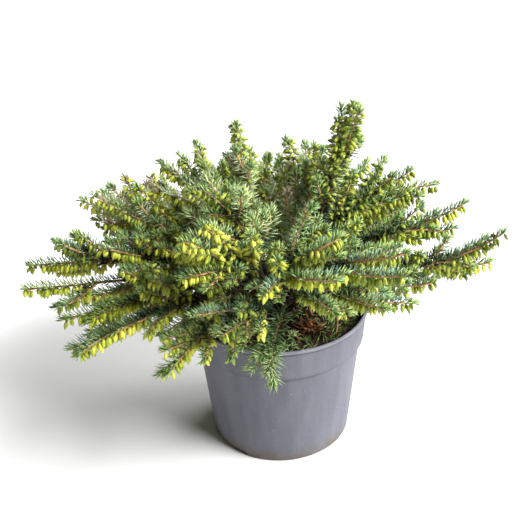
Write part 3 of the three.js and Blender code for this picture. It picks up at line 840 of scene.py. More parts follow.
def add_twigs(shoots, paths, own, draw, narrow):
    """Short twigs on the inner part of every shoot."""
    for parent in list(shoots):
        for order in range(TWIGS):
            share = TWIG_FROM + TWIG_SPAN * (order + draw()) / TWIGS
            spread = TWIG_SPREAD * (TWIG_SPREAD_LEAST + TWIG_SPREAD_PLAY * draw())
            length = TWIG_LENGTH_LOW + (TWIG_LENGTH_HIGH - TWIG_LENGTH_LOW) * draw()
            turn = order * GOLDEN_ANGLE + 2 * draw()
            line = grown(parent["line"], own, share, spread, turn, length, SHORTEST_TWIG)
            if line is not None and has_room(line, paths, TWIG_CLEARANCE * narrow):
                shoots.append({"line": line, "order": 2})
                paths.append(path_of(line))


def grow_mass(own):
    """All shoots of a mass, each with its line and its order from the leading shoot."""
    limb = LIMBS[own]
    draw = seeded_random(SEED + SEED_STEP * own)
    narrow = min(1.0, max(NARROWEST, limb["width"] / BROAD_WIDTH))
    side_shoots = [line for line in first_side_shoots(own, draw) if is_shown(line, own)]
    shoots = [{"line": limb["leader"], "order": 0}]
    shoots += [{"line": line, "order": 1} for line in side_shoots]
    shoots += aimed_shoots(limb)
    if limb["name"] in LEAFY_MASSES:
        return shoots
    paths = [path_of(shoot["line"]) for shoot in shoots]
    if limb["name"] not in LONE_SPIRES:
        add_fine_shoots(shoots, paths, own, draw, narrow)
    add_twigs(shoots, paths, own, draw, narrow)
    return shoots


# Meshes


class Bundle:
    """Points and triangles of many small things that are joined into one piece."""

    def __init__(self):
        self.points, self.faces, self.count = [], [], 0

    def add(self, points, faces):
        self.points.append(np.asarray(points, float).reshape(-1, 3))
        self.faces.append(np.asarray(faces, int).reshape(-1, 3) + self.count)
        self.count += len(self.points[-1])

    def arrays(self):
        return np.concatenate(self.points), np.concatenate(self.faces)


def mesh_object(name, points, faces, material, smooth=True):
    """A mesh object from points in millimetres and triangles, or faces with any equal number of corners."""
    points, faces = np.asarray(points, float), np.asarray(faces, int)
    corners = faces.shape[1]
    mesh = bpy.data.meshes.new(name)
    mesh.vertices.add(len(points))
    mesh.vertices.foreach_set("co", (points * MM).astype(np.float32).ravel())
    mesh.loops.add(faces.size)
    mesh.loops.foreach_set("vertex_index", faces.ravel())
    mesh.polygons.add(len(faces))
    mesh.polygons.foreach_set("loop_start", np.arange(0, faces.size, corners))
    mesh.polygons.foreach_set("use_smooth", np.full(len(faces), smooth))
    mesh.update(calc_edges=True)
    mesh.validate()
    mesh.materials.append(material)
    obj = bpy.data.objects.new(name, mesh)
    bpy.context.scene.collection.objects.link(obj)
    return obj


def piece(obj, slot, *nodes):
    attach(obj, "root")
    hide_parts(*nodes)


def rings(centres, frames, radii, sides):
    """Rings of points round centres. Each row of the radii has one value, or one for each point."""
    right, above = frames
    turns = 2 * math.pi * np.arange(sides) / sides
    ring = right[:, None] * np.cos(turns)[None, :, None] + above[:, None] * np.sin(turns)[None, :, None]
    return (centres[:, None] + ring * radii[..., None]).reshape(-1, 3)


def strip(rows, sides):
    """The faces between rings of points."""
    this = np.arange(rows - 1)[:, None] * sides + np.arange(sides)
    following = np.arange(rows - 1)[:, None] * sides + (np.arange(sides) + 1) % sides
    first = np.stack([this, following, following + sides], -1).reshape(-1, 3)
    second = np.stack([this, following + sides, this + sides], -1).reshape(-1, 3)
    return np.vstack([first, second])


def wall(this, following, sides):
    """The two faces between one side of a ring and the same side of the next."""
    return [[this, following, following + sides], [this, following + sides, this + sides]]


def first_end(sides):
    return [[0, i + 1, i] for i in range(1, sides - 1)]


def last_end(first, sides):
    return [[first, first + i, first + i + 1] for i in range(1, sides - 1)]


def pointed_end(first, sides, tip):
    return [[first + i, first + (i + 1) % sides, tip] for i in range(sides)]


def repeated(points, shape):
    """Points and faces of many small things of one shape, from a row of points for each."""
    faces = np.array(shape)[None] + points.shape[1] * np.arange(len(points))[:, None, None]
    return points.reshape(-1, 3), faces.reshape(-1, 3)


def tube(centres, radii, sides):
    """A closed tube through points, round in section and rounded off at its far end."""
    directions = unit(np.gradient(centres, axis=0))
    points = rings(centres, frames_of(directions), radii[:, None], sides)
    points = np.vstack([points, centres[-1] + directions[-1] * radii[-1]])
    last, tip = (len(centres) - 1) * sides, len(points) - 1
    return points, np.vstack([strip(len(centres), sides), first_end(sides), pointed_end(last, sides, tip)])


def lathe(profile, segments):
    """Points and faces of a profile turned round the upright axis. It starts and ends on the axis."""
    rows = np.array(profile, float)
    radii, heights = rows[1:-1].T
    centres = heights[:, None] * UP
    points = rings(centres, level_frames(len(centres)), radii[:, None], segments)
    points = np.vstack([points, [0, 0, rows[0, 1]], [0, 0, rows[-1, 1]]])
    this = np.arange(segments)
    following = (this + 1) % segments
    top = (len(centres) - 1) * segments
    foot_faces = np.stack([following, this, np.full(segments, len(points) - 2)], 1)
    top_faces = np.stack([top + this, top + following, np.full(segments, len(points) - 1)], 1)
    return points, np.vstack([strip(len(centres), segments), foot_faces, top_faces])


# Materials


def material(name, colour, roughness, specular=0.5):
    made = bpy.data.materials.new(name)
    made.use_nodes = True
    shader = made.node_tree.nodes["Principled BSDF"]
    shader.inputs["Base Color"].default_value = (*colour, 1)
    shader.inputs["Roughness"].default_value = roughness
    shader.inputs["Specular IOR Level"].default_value = specular
    return made


def srgb(red, green, blue):
    """A colour from 0 to 255 a channel, as linear light."""
    values = np.array([red, green, blue]) / 255
    linear = np.where(values <= 0.04045, values / 12.92, ((values + 0.055) / 1.055) ** 2.4)
    return tuple(float(v) for v in linear)


def grey(value):
    return (value, value, value)


def node(tree, kind, **values):
    made = tree.nodes.new(kind)
    for key, value in values.items():
        if key in made.inputs.keys():
            made.inputs[key].default_value = value
        else:
            setattr(made, key, value)
    return made


def noise(tree, place, scale, detail):
    made = node(tree, "ShaderNodeTexNoise", Scale=scale, Detail=detail)
    tree.links.new(place, made.inputs["Vector"])
    return made.outputs["Fac"]


def ramp(tree, share, *stops):
    """A colour from a share, by stops of a position and a colour."""
    made = node(tree, "ShaderNodeValToRGB")
    elements = made.color_ramp.elements
    while len(elements) < len(stops):
        elements.new(0.5)
    for element, (position, colour) in zip(elements, stops):
        element.position = position
        element.color = (*colour, 1)
    tree.links.new(share, made.inputs["Fac"])
    return made.outputs["Color"]


def mixed(tree, kind, share, first, second):
    mix = node(tree, "ShaderNodeMix", data_type="RGBA", blend_type=kind)
    for socket, value in ((mix.inputs[0], share), (mix.inputs[6], first), (mix.inputs[7], second)):
        if hasattr(value, "is_output"):
            tree.links.new(value, socket)
        else:
            socket.default_value = value
    return mix.outputs[2]


def varied(name, base, roughness, dark, light, scale, bump=0.0, bump_scale=0, islands=0.0):
    """A material that varies between two colours by fine noise, and by island on many small things."""
    made = material(name, srgb(*base), roughness)
    tree = made.node_tree
    shader = tree.nodes["Principled BSDF"]
    place = node(tree, "ShaderNodeTexCoord").outputs["Object"]
    share = noise(tree, place, scale, 3.0)
    if islands:
        geometry = node(tree, "ShaderNodeNewGeometry")
        blend = node(tree, "ShaderNodeMix", data_type="FLOAT")
        blend.inputs[0].default_value = islands
        tree.links.new(share, blend.inputs[2])
        tree.links.new(geometry.outputs["Random Per Island"], blend.inputs[3])
        share = blend.outputs[0]
    tree.links.new(ramp(tree, share, (0.25, srgb(*dark)), (0.75, srgb(*light))), shader.inputs["Base Color"])
    if bump:
        relief = node(tree, "ShaderNodeBump", Strength=bump, Distance=0.0006)
        tree.links.new(noise(tree, place, bump_scale, 5.0), relief.inputs["Height"])
        tree.links.new(relief.outputs["Normal"], shader.inputs["Normal"])
    return made


def weathered_plastic_with_painted_light():
    """Grey plastic: faint upright streaks, pale specks, soil along its foot, painted shadow lines where it
    steps, a painted highlight on its lip.
    """
    made = material("grey_plastic", srgb(96, 96, 106), 0.58, 0.24)
    tree = made.node_tree
    place = node(tree, "ShaderNodeTexCoord").outputs["Object"]
    stretch = node(tree, "ShaderNodeMapping", Scale=(1, 1, 0.16))
    tree.links.new(place, stretch.inputs["Vector"])
    parts = node(tree, "ShaderNodeSeparateXYZ")
    tree.links.new(place, parts.inputs["Vector"])

    def patches(scale, source, low, high, dark, light):
        return ramp(tree, noise(tree, source, scale, 4.0), (low, dark), (high, light))

    def by_height(top, at_foot, at_top):
        mapped = node(tree, "ShaderNodeMapRange")
        for socket, value in (("From Max", top * MM), ("To Min", at_foot), ("To Max", at_top)):
            mapped.inputs[socket].default_value = value
        tree.links.new(parts.outputs["Z"], mapped.inputs["Value"])
        return mapped.outputs["Result"]

    streaks = patches(70, stretch.outputs["Vector"], 0.3, 0.7, srgb(96, 97, 107), srgb(111, 111, 120))
    mottling = patches(420, place, 0.3, 0.7, grey(0.9), grey(1.0))
    colour = mixed(tree, "MULTIPLY", 1.0, streaks, mottling)
    specks = patches(760, place, 0.7, 0.74, grey(0), grey(1))
    colour = mixed(tree, "MIX", specks, colour, (*srgb(168, 168, 166), 1))
    # Painted shade and highlight by height: shadow lines at the collar's step and under the bead, a highlight
    # on the lip.
    painted_shades = [(position, grey(shade)) for position, shade in POT_PAINTED_LIGHT]
    colour = mixed(tree, "MULTIPLY", 1.0, colour, ramp(tree, by_height(POT_HEIGHT, 0.0, 1.0), *painted_shades))
    splashes = patches(130, place, 0.32, 0.6, grey(0), grey(1))
    dirt = mixed(tree, "MULTIPLY", 1.0, by_height(SOILED_HEIGHT, 1.0, 0.0), splashes)
    colour = mixed(tree, "MIX", dirt, colour, (*srgb(92, 84, 50), 1))
    tree.links.new(colour, tree.nodes["Principled BSDF"].inputs["Base Color"])
    return made


NEEDLE_TINTS = {
    name: varied("needle_" + name, light, 0.42, dark, light, 220, islands=0.6)
    for name, (dark, light) in NEEDLE_COLOURS.items()
}
BUD_TINTS = {
    name: varied("bud_" + name, light, 0.38, dark, light, 260, islands=0.7)
    for name, (dark, light) in BUD_COLOURS.items()
}
STALK = varied("stalk", (160, 140, 80), 0.5, (140, 112, 60), (176, 168, 84), 300)
STEM_YOUNG = varied("stem_young", (182, 138, 98), 0.5, (154, 112, 72), (218, 178, 130), 300)
STEM_OLD = varied("stem_old", (140, 104, 74), 0.7, (124, 88, 56), (196, 154, 110), 260)
BARK = varied("bark", (104, 68, 46), 0.8, (44, 29, 21), (104, 72, 50), 140, bump=0.8, bump_scale=420)
SOIL = varied("soil", (30, 22, 17), 0.95, (12, 9, 7), (52, 38, 29), 160, bump=1.0, bump_scale=700)
CRUMB = varied("crumb", (44, 32, 24), 0.9, (16, 12, 9), (84, 62, 44), 300, islands=0.7)
MOSS = varied("moss", (84, 104, 44), 0.8, (48, 66, 26), (112, 130, 58), 240, islands=0.6)
FALLEN_LEAF = varied("fallen_leaf", (140, 82, 50), 0.6, (106, 50, 26), (214, 142, 90), 120, islands=0.8)
GREY_PLASTIC = weathered_plastic_with_painted_light()
DRY_LEAF = varied("dry_leaf", (190, 158, 110), 0.7, (150, 112, 70), (214, 186, 140), 160)
FLOOR_PAPER = material("floor_paper", grey(0.82), 0.9, 0.0)


# Needles


def shares_at(line, distances):
    """Shares of a line at distances along it."""
    shares = np.linspace(0, 1, 65)
    steps = np.linalg.norm(np.diff(line.at(shares), axis=0), axis=1)
    return np.interp(distances, np.concatenate([[0], np.cumsum(steps)]), shares)


def needles(roots, directions, sides, lengths, widths, bend):
    """Needles of ten faces: a three-sided body that swells, bends a little and runs to a point."""
    normals = np.cross(sides, directions)
    points = []
    for along, swell, lift in NEEDLE_RINGS:
        centre = roots + directions * (lengths * along)[:, None] + normals * (lengths * lift * bend)[:, None]
        half = (0.5 * widths * swell)[:, None]
        thick = NEEDLE_THICKNESS * swell
        points += [centre - sides * half, centre + sides * half, centre + normals * thick]
    tip_lift = (lengths * NEEDLE_TIP_LIFT * bend)[:, None]
    points.append(roots + directions * lengths[:, None] + normals * tip_lift)
    shape = [[0, 2, 1]]
    for a, b in ((0, 1), (1, 2), (2, 0)):
        shape += wall(a, b, 3) + [[a + 3, b + 3, 6]]
    return repeated(np.stack(points, 1), shape)


def erectness(ahead):
    """0 along a level shoot, 1 along an erect one."""
    return np.clip((ahead[:, 2] - ERECT_FROM) / ERECT_SPAN, 0, 1)


def whorl_places(length, bare, rng):
    """How far along a shoot its needles stand, and how far round it."""
    whorls = np.arange(bare * length, length - NEEDLE_TIP_FREE, WHORL_STEP)
    close = np.arange(length - TUFT_SHARE * TUFT_LENGTH, length, TUFT_STEP * WHORL_STEP)
    distances = np.repeat(np.concatenate([whorls, close]), WHORL_COUNT)
    whorl_total = len(distances) // WHORL_COUNT
    turns = np.tile(np.arange(WHORL_COUNT) * 2 * math.pi / WHORL_COUNT, whorl_total)
    turns = turns + np.repeat(np.arange(whorl_total) % 2, WHORL_COUNT) * math.pi / WHORL_COUNT
    turns = turns + rng.normal(0, NEEDLE_TURN_PLAY, len(distances))
    distances = distances + rng.normal(0, NEEDLE_PLACE_PLAY, len(distances))
    return np.clip(distances, 0, length - 0.3), turns


def shoot_needles(shoot, rng):
    """A shoot's needles: roots, directions, side vectors, lengths, widths and distances from the tip."""
    line = shoot["line"]
    length = line.length - TIP_LEAVES
    distances, turns = whorl_places(length, shoot["bare"], rng)
    count = len(distances)
    shares = shares_at(line, distances)
    stem = line.at(shares)
    ahead = line.tangents(shares)
    right, above = line.frames(shares)
    erect = erectness(ahead)
    outward = right * np.cos(turns)[:, None] + above * np.sin(turns)[:, None]
    outward = unit(outward + above * (NEEDLE_RISE * (1 - erect))[:, None])
    to_tip = length - distances
    young = np.clip(1 - to_tip / TUFT_LENGTH, 0, 1)
    lean = NEEDLE_LEAN + (NEEDLE_LEAN_AT_TIP - NEEDLE_LEAN) * young + rng.normal(0, NEEDLE_LEAN_PLAY, count)
    directions = unit(ahead * np.cos(lean)[:, None] + outward * np.sin(lean)[:, None])
    sides = unit(np.cross(directions, ahead + 0.3 * outward))
    lengths = NEEDLE_LENGTH * shoot["needle_scale"] * rng.uniform(*NEEDLE_LENGTHS, count)
    lengths = lengths * (1 - YOUNG_SHORTER * young)
    widths = NEEDLE_WIDTH * rng.uniform(*NEEDLE_WIDTHS, count)
    keep = within_box(stem + directions * lengths[:, None], BOX_MARGIN)
    if shoot["buds"]:
        in_row = (to_tip < BUD_ZONE * shoot["bud_zone"] + ROW_MARGIN) & (to_tip > BUD_TIP_FREE)
        low = ((outward * above).sum(1) < ROW_BELOW) & (erect < ROW_ERECT)
        keep &= ~(in_row & low & (rng.random(count) < ROW_CLEARED))
    return [row[keep] for row in (stem + outward * NEEDLE_OUT, directions, sides, lengths, widths, to_tip)]


# Buds


def buds(roots, directions, sides, lengths, radii):
    """Buds of four sepals: an urn with a furrow between each pair of sepals, drawn to a point."""
    normals = np.cross(sides, directions)
    turns = 2 * math.pi * np.arange(BUD_POINTS) / BUD_POINTS
    lobes = np.where(np.arange(BUD_POINTS) % 2, SEPAL_FURROW, 1.0)
    ring = sides[:, None] * (np.cos(turns) * lobes)[None, :, None]
    ring = ring + normals[:, None] * (np.sin(turns) * lobes)[None, :, None]
    points = [
        (roots + directions * (lengths * along)[:, None])[:, None] + ring * (radii * swell)[:, None, None]
        for along, swell in BUD_RINGS
    ]
    points.append((roots + directions * lengths[:, None])[:, None])
    shape = first_end(BUD_POINTS)
    for row in range(len(BUD_RINGS) - 1):
        for i in range(BUD_POINTS):
            shape += wall(row * BUD_POINTS + i, row * BUD_POINTS + (i + 1) % BUD_POINTS, BUD_POINTS)
    last = (len(BUD_RINGS) - 1) * BUD_POINTS
    shape += pointed_end(last, BUD_POINTS, last + BUD_POINTS)
    return repeated(np.concatenate(points, 1), shape)


def stalks(starts, ends, radius):
    """Three-sided stalks, each from one point to another."""
    right, above = frames_of(unit(ends - starts))
    rows = [
        centre + radius * (right * math.cos(turn) + above * math.sin(turn))
        for centre in (starts, ends)
        for turn in (0, 2 * math.pi / 3, 4 * math.pi / 3)
    ]
    shape = [[0, 2, 1], [3, 4, 5]]
    for a, b in ((0, 1), (1, 2), (2, 0)):
        shape += wall(a, b, 3)
    return repeated(np.stack(rows, 1), shape)


def bud_places(shoot, length, rng):
    """How far along a shoot its buds stand and how far round it, or None on too short a shoot."""
    zone = min(BUD_ZONE * shoot["bud_zone"], BUD_ZONE_SHARE * length - BUD_TIP_FREE)
    erect_whole = float(erectness(shoot["line"].tangents(0.7))[0])
    clusters = int(zone / shoot["cluster_step"] * (1 + ERECT_MORE * erect_whole))
    if clusters < 2:
        return None
    along = zone * (np.arange(clusters) + rng.uniform(*CLUSTER_PLAY, clusters)) / clusters
    along = np.repeat(along, CLUSTER_BUDS) + rng.normal(0, CLUSTER_SCATTER, clusters * CLUSTER_BUDS)
    cluster_turns = np.repeat(rng.normal(0, CLUSTER_TURN_PLAY, clusters), CLUSTER_BUDS)
    places = np.tile(CLUSTER_PLACES, clusters) + cluster_turns
    kept = rng.random(len(along)) < BUD_KEPT
    return length - BUD_TIP_FREE - along[kept], places[kept]


def shoot_buds(shoot, rng):
    """Buds and stalks of a shoot, which hang from its lower side, or stand out all round an erect one."""
    line = shoot["line"]
    length = line.length - TIP_LEAVES
    row = bud_places(shoot, length, rng)
    if row is None:
        return None
    distances, places = row
    count = len(distances)
    shares = shares_at(line, np.clip(distances, 0, length))
    stem = line.at(shares)
    ahead = line.tangents(shares)
    right, above = frames_of(ahead)
    erect = erectness(ahead)
    turns = places[:, None] * (0.95 + 2.2 * erect)[:, None] + rng.normal(0, 0.2, (count, 1))
    outward = right * np.sin(turns) - above * np.cos(turns)
    fall = (0.85 - 0.45 * erect)[:, None]
    hanging = unit(0.55 * outward - fall * UP + 0.2 * ahead + rng.normal(0, 0.16, (count, 3)))
    roots = stem + unit(1.6 * outward + 0.35 * ahead + 0.6 * hanging) * STALK_LENGTH
    near_tip = np.clip((length - distances) / SMALL_BUDS_TO, SMALLEST_BUD, 1)
    lengths = BUD_LENGTH * near_tip * rng.uniform(*BUD_LENGTHS, count)
    radii = BUD_RADIUS * near_tip**BUD_THINNING * rng.uniform(*BUD_RADII, count)
    sides = frames_of(hanging)[0]
    inside = within_box(roots + hanging * lengths[:, None], BUD_RADIUS) & within_box(roots, BUD_RADIUS)
    rows = (roots, hanging, sides, lengths, radii, stem)
    roots, hanging, sides, lengths, radii, stem = (row[inside] for row in rows)
    tops = roots - hanging * BUD_ON_STALK
    return buds(tops, hanging, sides, lengths, radii), stalks(stem, roots, STALK_RADIUS)


# Crown


def pick(rng, weighted):
    names, weights = zip(*weighted)
    return names[int(rng.choice(len(names), p=np.array(weights) / sum(weights)))]


def bud_chance(name, order, left):
    """How likely a shoot of an order bears buds."""
    if name in MANY_BUDS:
        return 1.0
    if not left and order == 2:
        return RIGHT_TWIG_CHANCE
    return (FEW_BUD_CHANCES if name in FEW_BUDS else BUD_CHANCES)[order]


def dress(shoot, limb, rng):
    """Deals a shoot its tints, its needles' length and whether it bears buds."""
    name, order = limb["name"], shoot["order"]
    left = LEFT_AZIMUTHS[0] < limb["azimuth"] < LEFT_AZIMUTHS[1]
    back = name in BACK_MASSES
    aimed, budless = shoot.get("aimed", False), shoot.get("budless", False)
    shoot["tint"] = pick(rng, BACK_TINTS if back else LEFT_TINTS if left else RIGHT_TINTS)
    rosy = back and rng.random() < ROSY_SHARE
    shoot["tip_tint"] = "rosy" if rosy else pick(rng, TIP_TINTS)
    # Darker buds at the right and lighter ones at the left and the front: painted shade and painted light.
    shoot["bud_tint"] = pick(rng, LEFT_BUDS if left or name in FRONT_MASSES else RIGHT_BUDS)
    shoot["needle_scale"] = 1.0
    shoot["bare"] = 0.0 if order else 0.02
    shoot["bud_zone"] = float(rng.uniform(*BUD_ZONES))
    shoot["cluster_step"] = CLOSE_CLUSTER_STEP if name in MANY_BUDS else CLUSTER_STEP
    long_enough = shoot["line"].length > SHORTEST_WITH_BUDS or aimed
    dealt = bool(rng.random() < bud_chance(name, order, left)) or aimed
    shoot["buds"] = dealt and long_enough and not budless
    if budless:
        shoot["tint"] = "hazy"
    if name in PALE_MASSES and rng.random() < PALE_SHARE:
        shoot.update(tint="pale", tip_tint="pale", needle_scale=1.2, buds=False)
    if name in LEAFY_MASSES:
        shoot.update(tint="green", tip_tint="pale", needle_scale=1.3, buds=order == 0, bud_zone=0.2)


def add_needles(bundles, shoot, name, rng):
    """Adds a shoot's needles by their tint: young at its tip, old towards its foot, where they are darker as
    older needles and as painted shade deep in the crown, or pale as painted light in the back masses.
    """
    *rows, to_tip = shoot_needles(shoot, rng)
    young = to_tip < TUFT_LENGTH * TUFT_TINTED
    # Needles far from the tip take an inner tint: dark for older needles and as painted shade deep in the
    # crown, pale as painted light in the back masses.
    inner_share = DEEP_INNER_SHARE if name in DEEP_MASSES else INNER_SHARE
    inner_from = min(INNER_FROM, inner_share * shoot["line"].length)
    old = to_tip > inner_from + rng.normal(0, INNER_PLAY, len(to_tip))
    rows.append(rng.uniform(-0.3, 1.0, len(to_tip)))
    inner = "hazy" if name in BACK_MASSES else "deep" if name in LEAFY_MASSES else "dark"
    for chosen, tint in ((~young & ~old, shoot["tint"]), (young, shoot["tip_tint"]), (old & ~young, inner)):
        if chosen.any():
            bundles["needles_" + tint].add(*needles(*(row[chosen] for row in rows)))


def add_buds(bundles, shoot, rng):
    made = shoot_buds(shoot, rng)
    if made:
        bundles["buds_" + shoot["bud_tint"]].add(*made[0])
        bundles["bud_stalks"].add(*made[1])


def add_stem(bundles, shoot):
    """Adds a shoot's stem, rough with the scars of old leaves."""
    line = shoot["line"]
    last = 1 - (TIP_LEAVES + STEM_TIP_FREE) / line.length
    shares = np.linspace(0, last, max(5, int(line.length / SCAR_STEP)))
    thick = SIDE_STEM_RADIUS if shoot["order"] else LEADING_STEM_RADIUS
    scars = 1 + SCAR_DEPTH * (np.arange(len(shares)) % 2 - 0.5)
    radii = thick * (STEM_AT_FOOT - STEM_TAPER * shares) * scars
    radii[-1] *= STEM_END
    bundles["stems_young" if shoot["order"] else "stems_old"].add(*tube(line.at(shares), radii, STEM_SIDES))


def grow_crown():
    materials = {"needles_" + name: tint for name, tint in NEEDLE_TINTS.items()}
    materials.update({"buds_" + name: tint for name, tint in BUD_TINTS.items()})
    materials.update(bud_stalks=STALK, stems_young=STEM_YOUNG, stems_old=STEM_OLD)
    bundles = {name: Bundle() for name in materials}
    rng = np.random.default_rng(SEED)
    for own, limb in enumerate(LIMBS):
        for shoot in grow_mass(own):
            dress(shoot, limb, rng)
            add_needles(bundles, shoot, limb["name"], rng)
            if shoot["buds"]:
                add_buds(bundles, shoot, rng)
            add_stem(bundles, shoot)
    masses = ["mass_" + limb["name"] for limb in LIMBS]
    for name, bundle in bundles.items():
        if bundle.count:
            piece(mesh_object(name, *bundle.arrays(), materials[name]), "foliage", *masses)


# Pot


def arc(centre, radius, first, last, steps):
    """Points of a profile on an arc, its angles in degrees from the profile's outward direction."""
    turns = np.linspace(first, last, steps + 1) * DEGREE
    return [(centre[0] + radius * math.cos(t), centre[1] + radius * math.sin(t)) for t in turns]


def pot_outside():
    """The profile of the pot's outside, from the foot's centre to the mouth's."""
    bead = LIP_HEIGHT / 2
    points = [(0, 0), (FOOT_RADIUS - 16, 0)]
    points += arc((FOOT_RADIUS - FOOT_ROUNDING, FOOT_ROUNDING), FOOT_ROUNDING, -90, 0, 6)
    points += [(BODY_TOP_RADIUS - 0.35, BODY_TOP - 2.6), (BODY_TOP_RADIUS - 0.1, BODY_TOP - 1.2)]
    points += [(BODY_TOP_RADIUS + 0.5, BODY_TOP - 0.3), (BODY_TOP_RADIUS + 1.3, BODY_TOP + 0.2)]
    points += arc((COLLAR_FOOT_RADIUS - COLLAR_ROUNDING, BODY_TOP + 2.1), COLLAR_ROUNDING, -70, 0, 8)
    points += [(COLLAR_TOP_RADIUS - 0.45, LIP_FOOT - 1.8), (COLLAR_TOP_RADIUS - 0.75, LIP_FOOT - 0.4)]
    points += arc((RIM_RADIUS - bead, POT_HEIGHT - bead), bead, -58, 84, 12)
    return points + [(RIM_RADIUS - bead - 0.4, POT_HEIGHT), (0, POT_HEIGHT)]


def pot_inside():
    """The profile of what is taken out of the pot, from the floor's centre to above the mouth."""
    mouth = RIM_RADIUS - LIP_HEIGHT / 2 - 0.6
    return [
        (0, POT_FLOOR),
        (FOOT_RADIUS - FOOT_ROUNDING - POT_WALL, POT_FLOOR),
        (FOOT_RADIUS - POT_WALL, FOOT_ROUNDING + POT_FLOOR),
        (BODY_TOP_RADIUS - POT_WALL, BODY_TOP + INSIDE_RISE),
        (COLLAR_FOOT_RADIUS - POT_WALL, BODY_TOP + COLLAR_STEP + INSIDE_RISE),
        (COLLAR_TOP_RADIUS - POT_WALL, LIP_FOOT),
        (mouth - 0.3, POT_HEIGHT - 0.5),
        (mouth, POT_HEIGHT),
        (mouth, POT_HEIGHT + 2),
        (0, POT_HEIGHT + 2),
    ]


def arch_block(name, azimuth, grow):
    """The block that is cut from the foot to let water out."""
    half = ARCH_WIDTH / 2 + grow
    height = ARCH_HEIGHT + grow
    top = half - ARCH_SLOPE
    below = -ARCH_RUN_OUT
    outline = [(-half, below), (half, below), (half, 0), (top, height), (-top, height), (-half, 0)]
    near, far = FOOT_RADIUS - ARCH_DEPTH - grow, FOOT_RADIUS + ARCH_RUN_OUT
    x, y, z = np.array([(x, y, z) for x in (near, far) for y, z in outline]).T
    count = len(outline)
    faces = first_end(count) + last_end(count, count)
    for i in range(count):
        faces += wall(i, (i + 1) % count, count)
    cos, sin = math.cos(azimuth * DEGREE), math.sin(azimuth * DEGREE)
    turned = np.stack([cos * x - sin * y, sin * x + cos * y, z], 1)
    return mesh_object(name, turned, faces, GREY_PLASTIC, smooth=False)


def cut(target, cutter):
    modifier = target.modifiers.new("cut", "BOOLEAN")
    modifier.operation = "DIFFERENCE"
    modifier.solver = "EXACT"
    modifier.object = cutter
    made = bpy.data.meshes.new_from_object(target.evaluated_get(bpy.context.evaluated_depsgraph_get()))
    target.modifiers.clear()
    target.data = made
    bpy.data.objects.remove(cutter)


def make_pot():
    pot = mesh_object("nursery_pot", *lathe(pot_outside(), POT_SEGMENTS), GREY_PLASTIC)
    hollow = mesh_object("pot_hollow", *lathe(pot_inside(), POT_SEGMENTS), GREY_PLASTIC)
    for azimuth in ARCH_AZIMUTHS:
        cut(hollow, arch_block("arch_inner", azimuth, POT_WALL))
    cut(pot, hollow)
    for azimuth in ARCH_AZIMUTHS:
        cut(pot, arch_block("arch_outer", azimuth, 0))
    pot.data.set_sharp_from_angle(angle=SHARP_ANGLE)
    piece(pot, "pot", "pot")


# Potting mix


def waves(x, y, rng, count, longest, shortest):
    """A smooth random height from waves in all directions."""
    height = np.zeros_like(x)
    for _ in range(count):
        turn, phase = rng.uniform(0, 2 * math.pi, 2)
        length = math.exp(rng.uniform(math.log(shortest), math.log(longest)))
        height += np.sin(2 * math.pi * (x * math.cos(turn) + y * math.sin(turn)) / length + phase)
    return height / math.sqrt(count)


def soil_height(x, y):
    rng = np.random.default_rng(SEED + 1)
    swells = sum(weight * waves(x, y, rng, *shape) for weight, *shape in SOIL_SWELLS)
    return SOIL_TOP + SOIL_LUMP * np.clip(SOIL_STEEPNESS * swells, -1, 1)


def make_soil():
    radii = SOIL_EDGE * np.linspace(0, 1, SOIL_RINGS + 1)[1:]
    profile = [(0, SOIL_BOTTOM), (SOIL_BOTTOM_RADIUS, SOIL_BOTTOM)]
    profile += [(r, SOIL_TOP) for r in radii[::-1]] + [(0, SOIL_TOP)]
    points, faces = lathe(profile, SOIL_SEGMENTS)
    top = points[:, 2] > SOIL_TOP - 1
    points[top, 2] = soil_height(points[top, 0], points[top, 1])
    piece(mesh_object("potting_mix", points, faces, SOIL), "soil", "soil")


# What lies on the mix


def scattered(rng, count, inner, outer):
    """Places on the mix, between two radii."""
    radius = np.sqrt(rng.uniform(inner**2, outer**2, count))
    turn = rng.uniform(0, 2 * math.pi, count)
    x, y = radius * np.cos(turn), radius * np.sin(turn)
    return np.stack([x, y, soil_height(x, y)], 1)


def lumps(places, sizes, rng):
    """Rough eight-cornered lumps, sunk halfway in."""
    corners = np.array([[x, y, z] for z in (-1, 1) for x, y in ((-1, -1), (1, -1), (1, 1), (-1, 1))], float)
    shape = [[0, 2, 1], [0, 3, 2], [4, 5, 6], [4, 6, 7]]
    for a, b in ((0, 1), (1, 2), (2, 3), (3, 0)):
        shape += wall(a, b, 4)
    count = len(places)
    shaped = corners[None] * rng.uniform(0.45, 1.0, (count, 8, 3)) * rng.uniform(0.5, 1.1, (count, 1, 3))
    turn = rng.uniform(0, 2 * math.pi, count)
    cos, sin = np.cos(turn)[:, None], np.sin(turn)[:, None]
    x = shaped[..., 0] * cos - shaped[..., 1] * sin
    y = shaped[..., 0] * sin + shaped[..., 1] * cos
    return repeated(places[:, None] + np.stack([x, y, shaped[..., 2]], -1) * sizes[:, None, None] / 2, shape)


def strewn(roots, rng, lengths, widths, rise, tumble):
    """Dead needles or leaves that lie about at their roots, within ranges of length, width and rise."""
    count = len(roots)
    turn = rng.uniform(0, 2 * math.pi, count)
    directions = unit(np.stack([np.cos(turn), np.sin(turn), rng.uniform(*rise, count)], 1))
    sides = unit(np.cross(directions, UP + rng.normal(0, tumble, (count, 3))))
    lengths, widths = (rng.uniform(*limits, count) for limits in (lengths, widths))
    return needles(roots, directions, sides, lengths, widths, np.ones(count))


def spray(roots, directions, rng, lengths, width):
    """Needles of one width along given directions."""
    count = len(roots)
    lengths = rng.uniform(*lengths, count)
    sides = frames_of(directions)[0]
    return needles(roots, directions, sides, lengths, np.full(count, width), np.ones(count))


def make_crumbs(rng):
    places = scattered(rng, CRUMBS, CRUMBS_FROM, LITTER_EDGE)
    crumbs = lumps(places, rng.uniform(*CRUMB_SIZES, CRUMBS), rng)
    piece(mesh_object("crumbs", *crumbs, CRUMB, smooth=False), "soil", "soil")


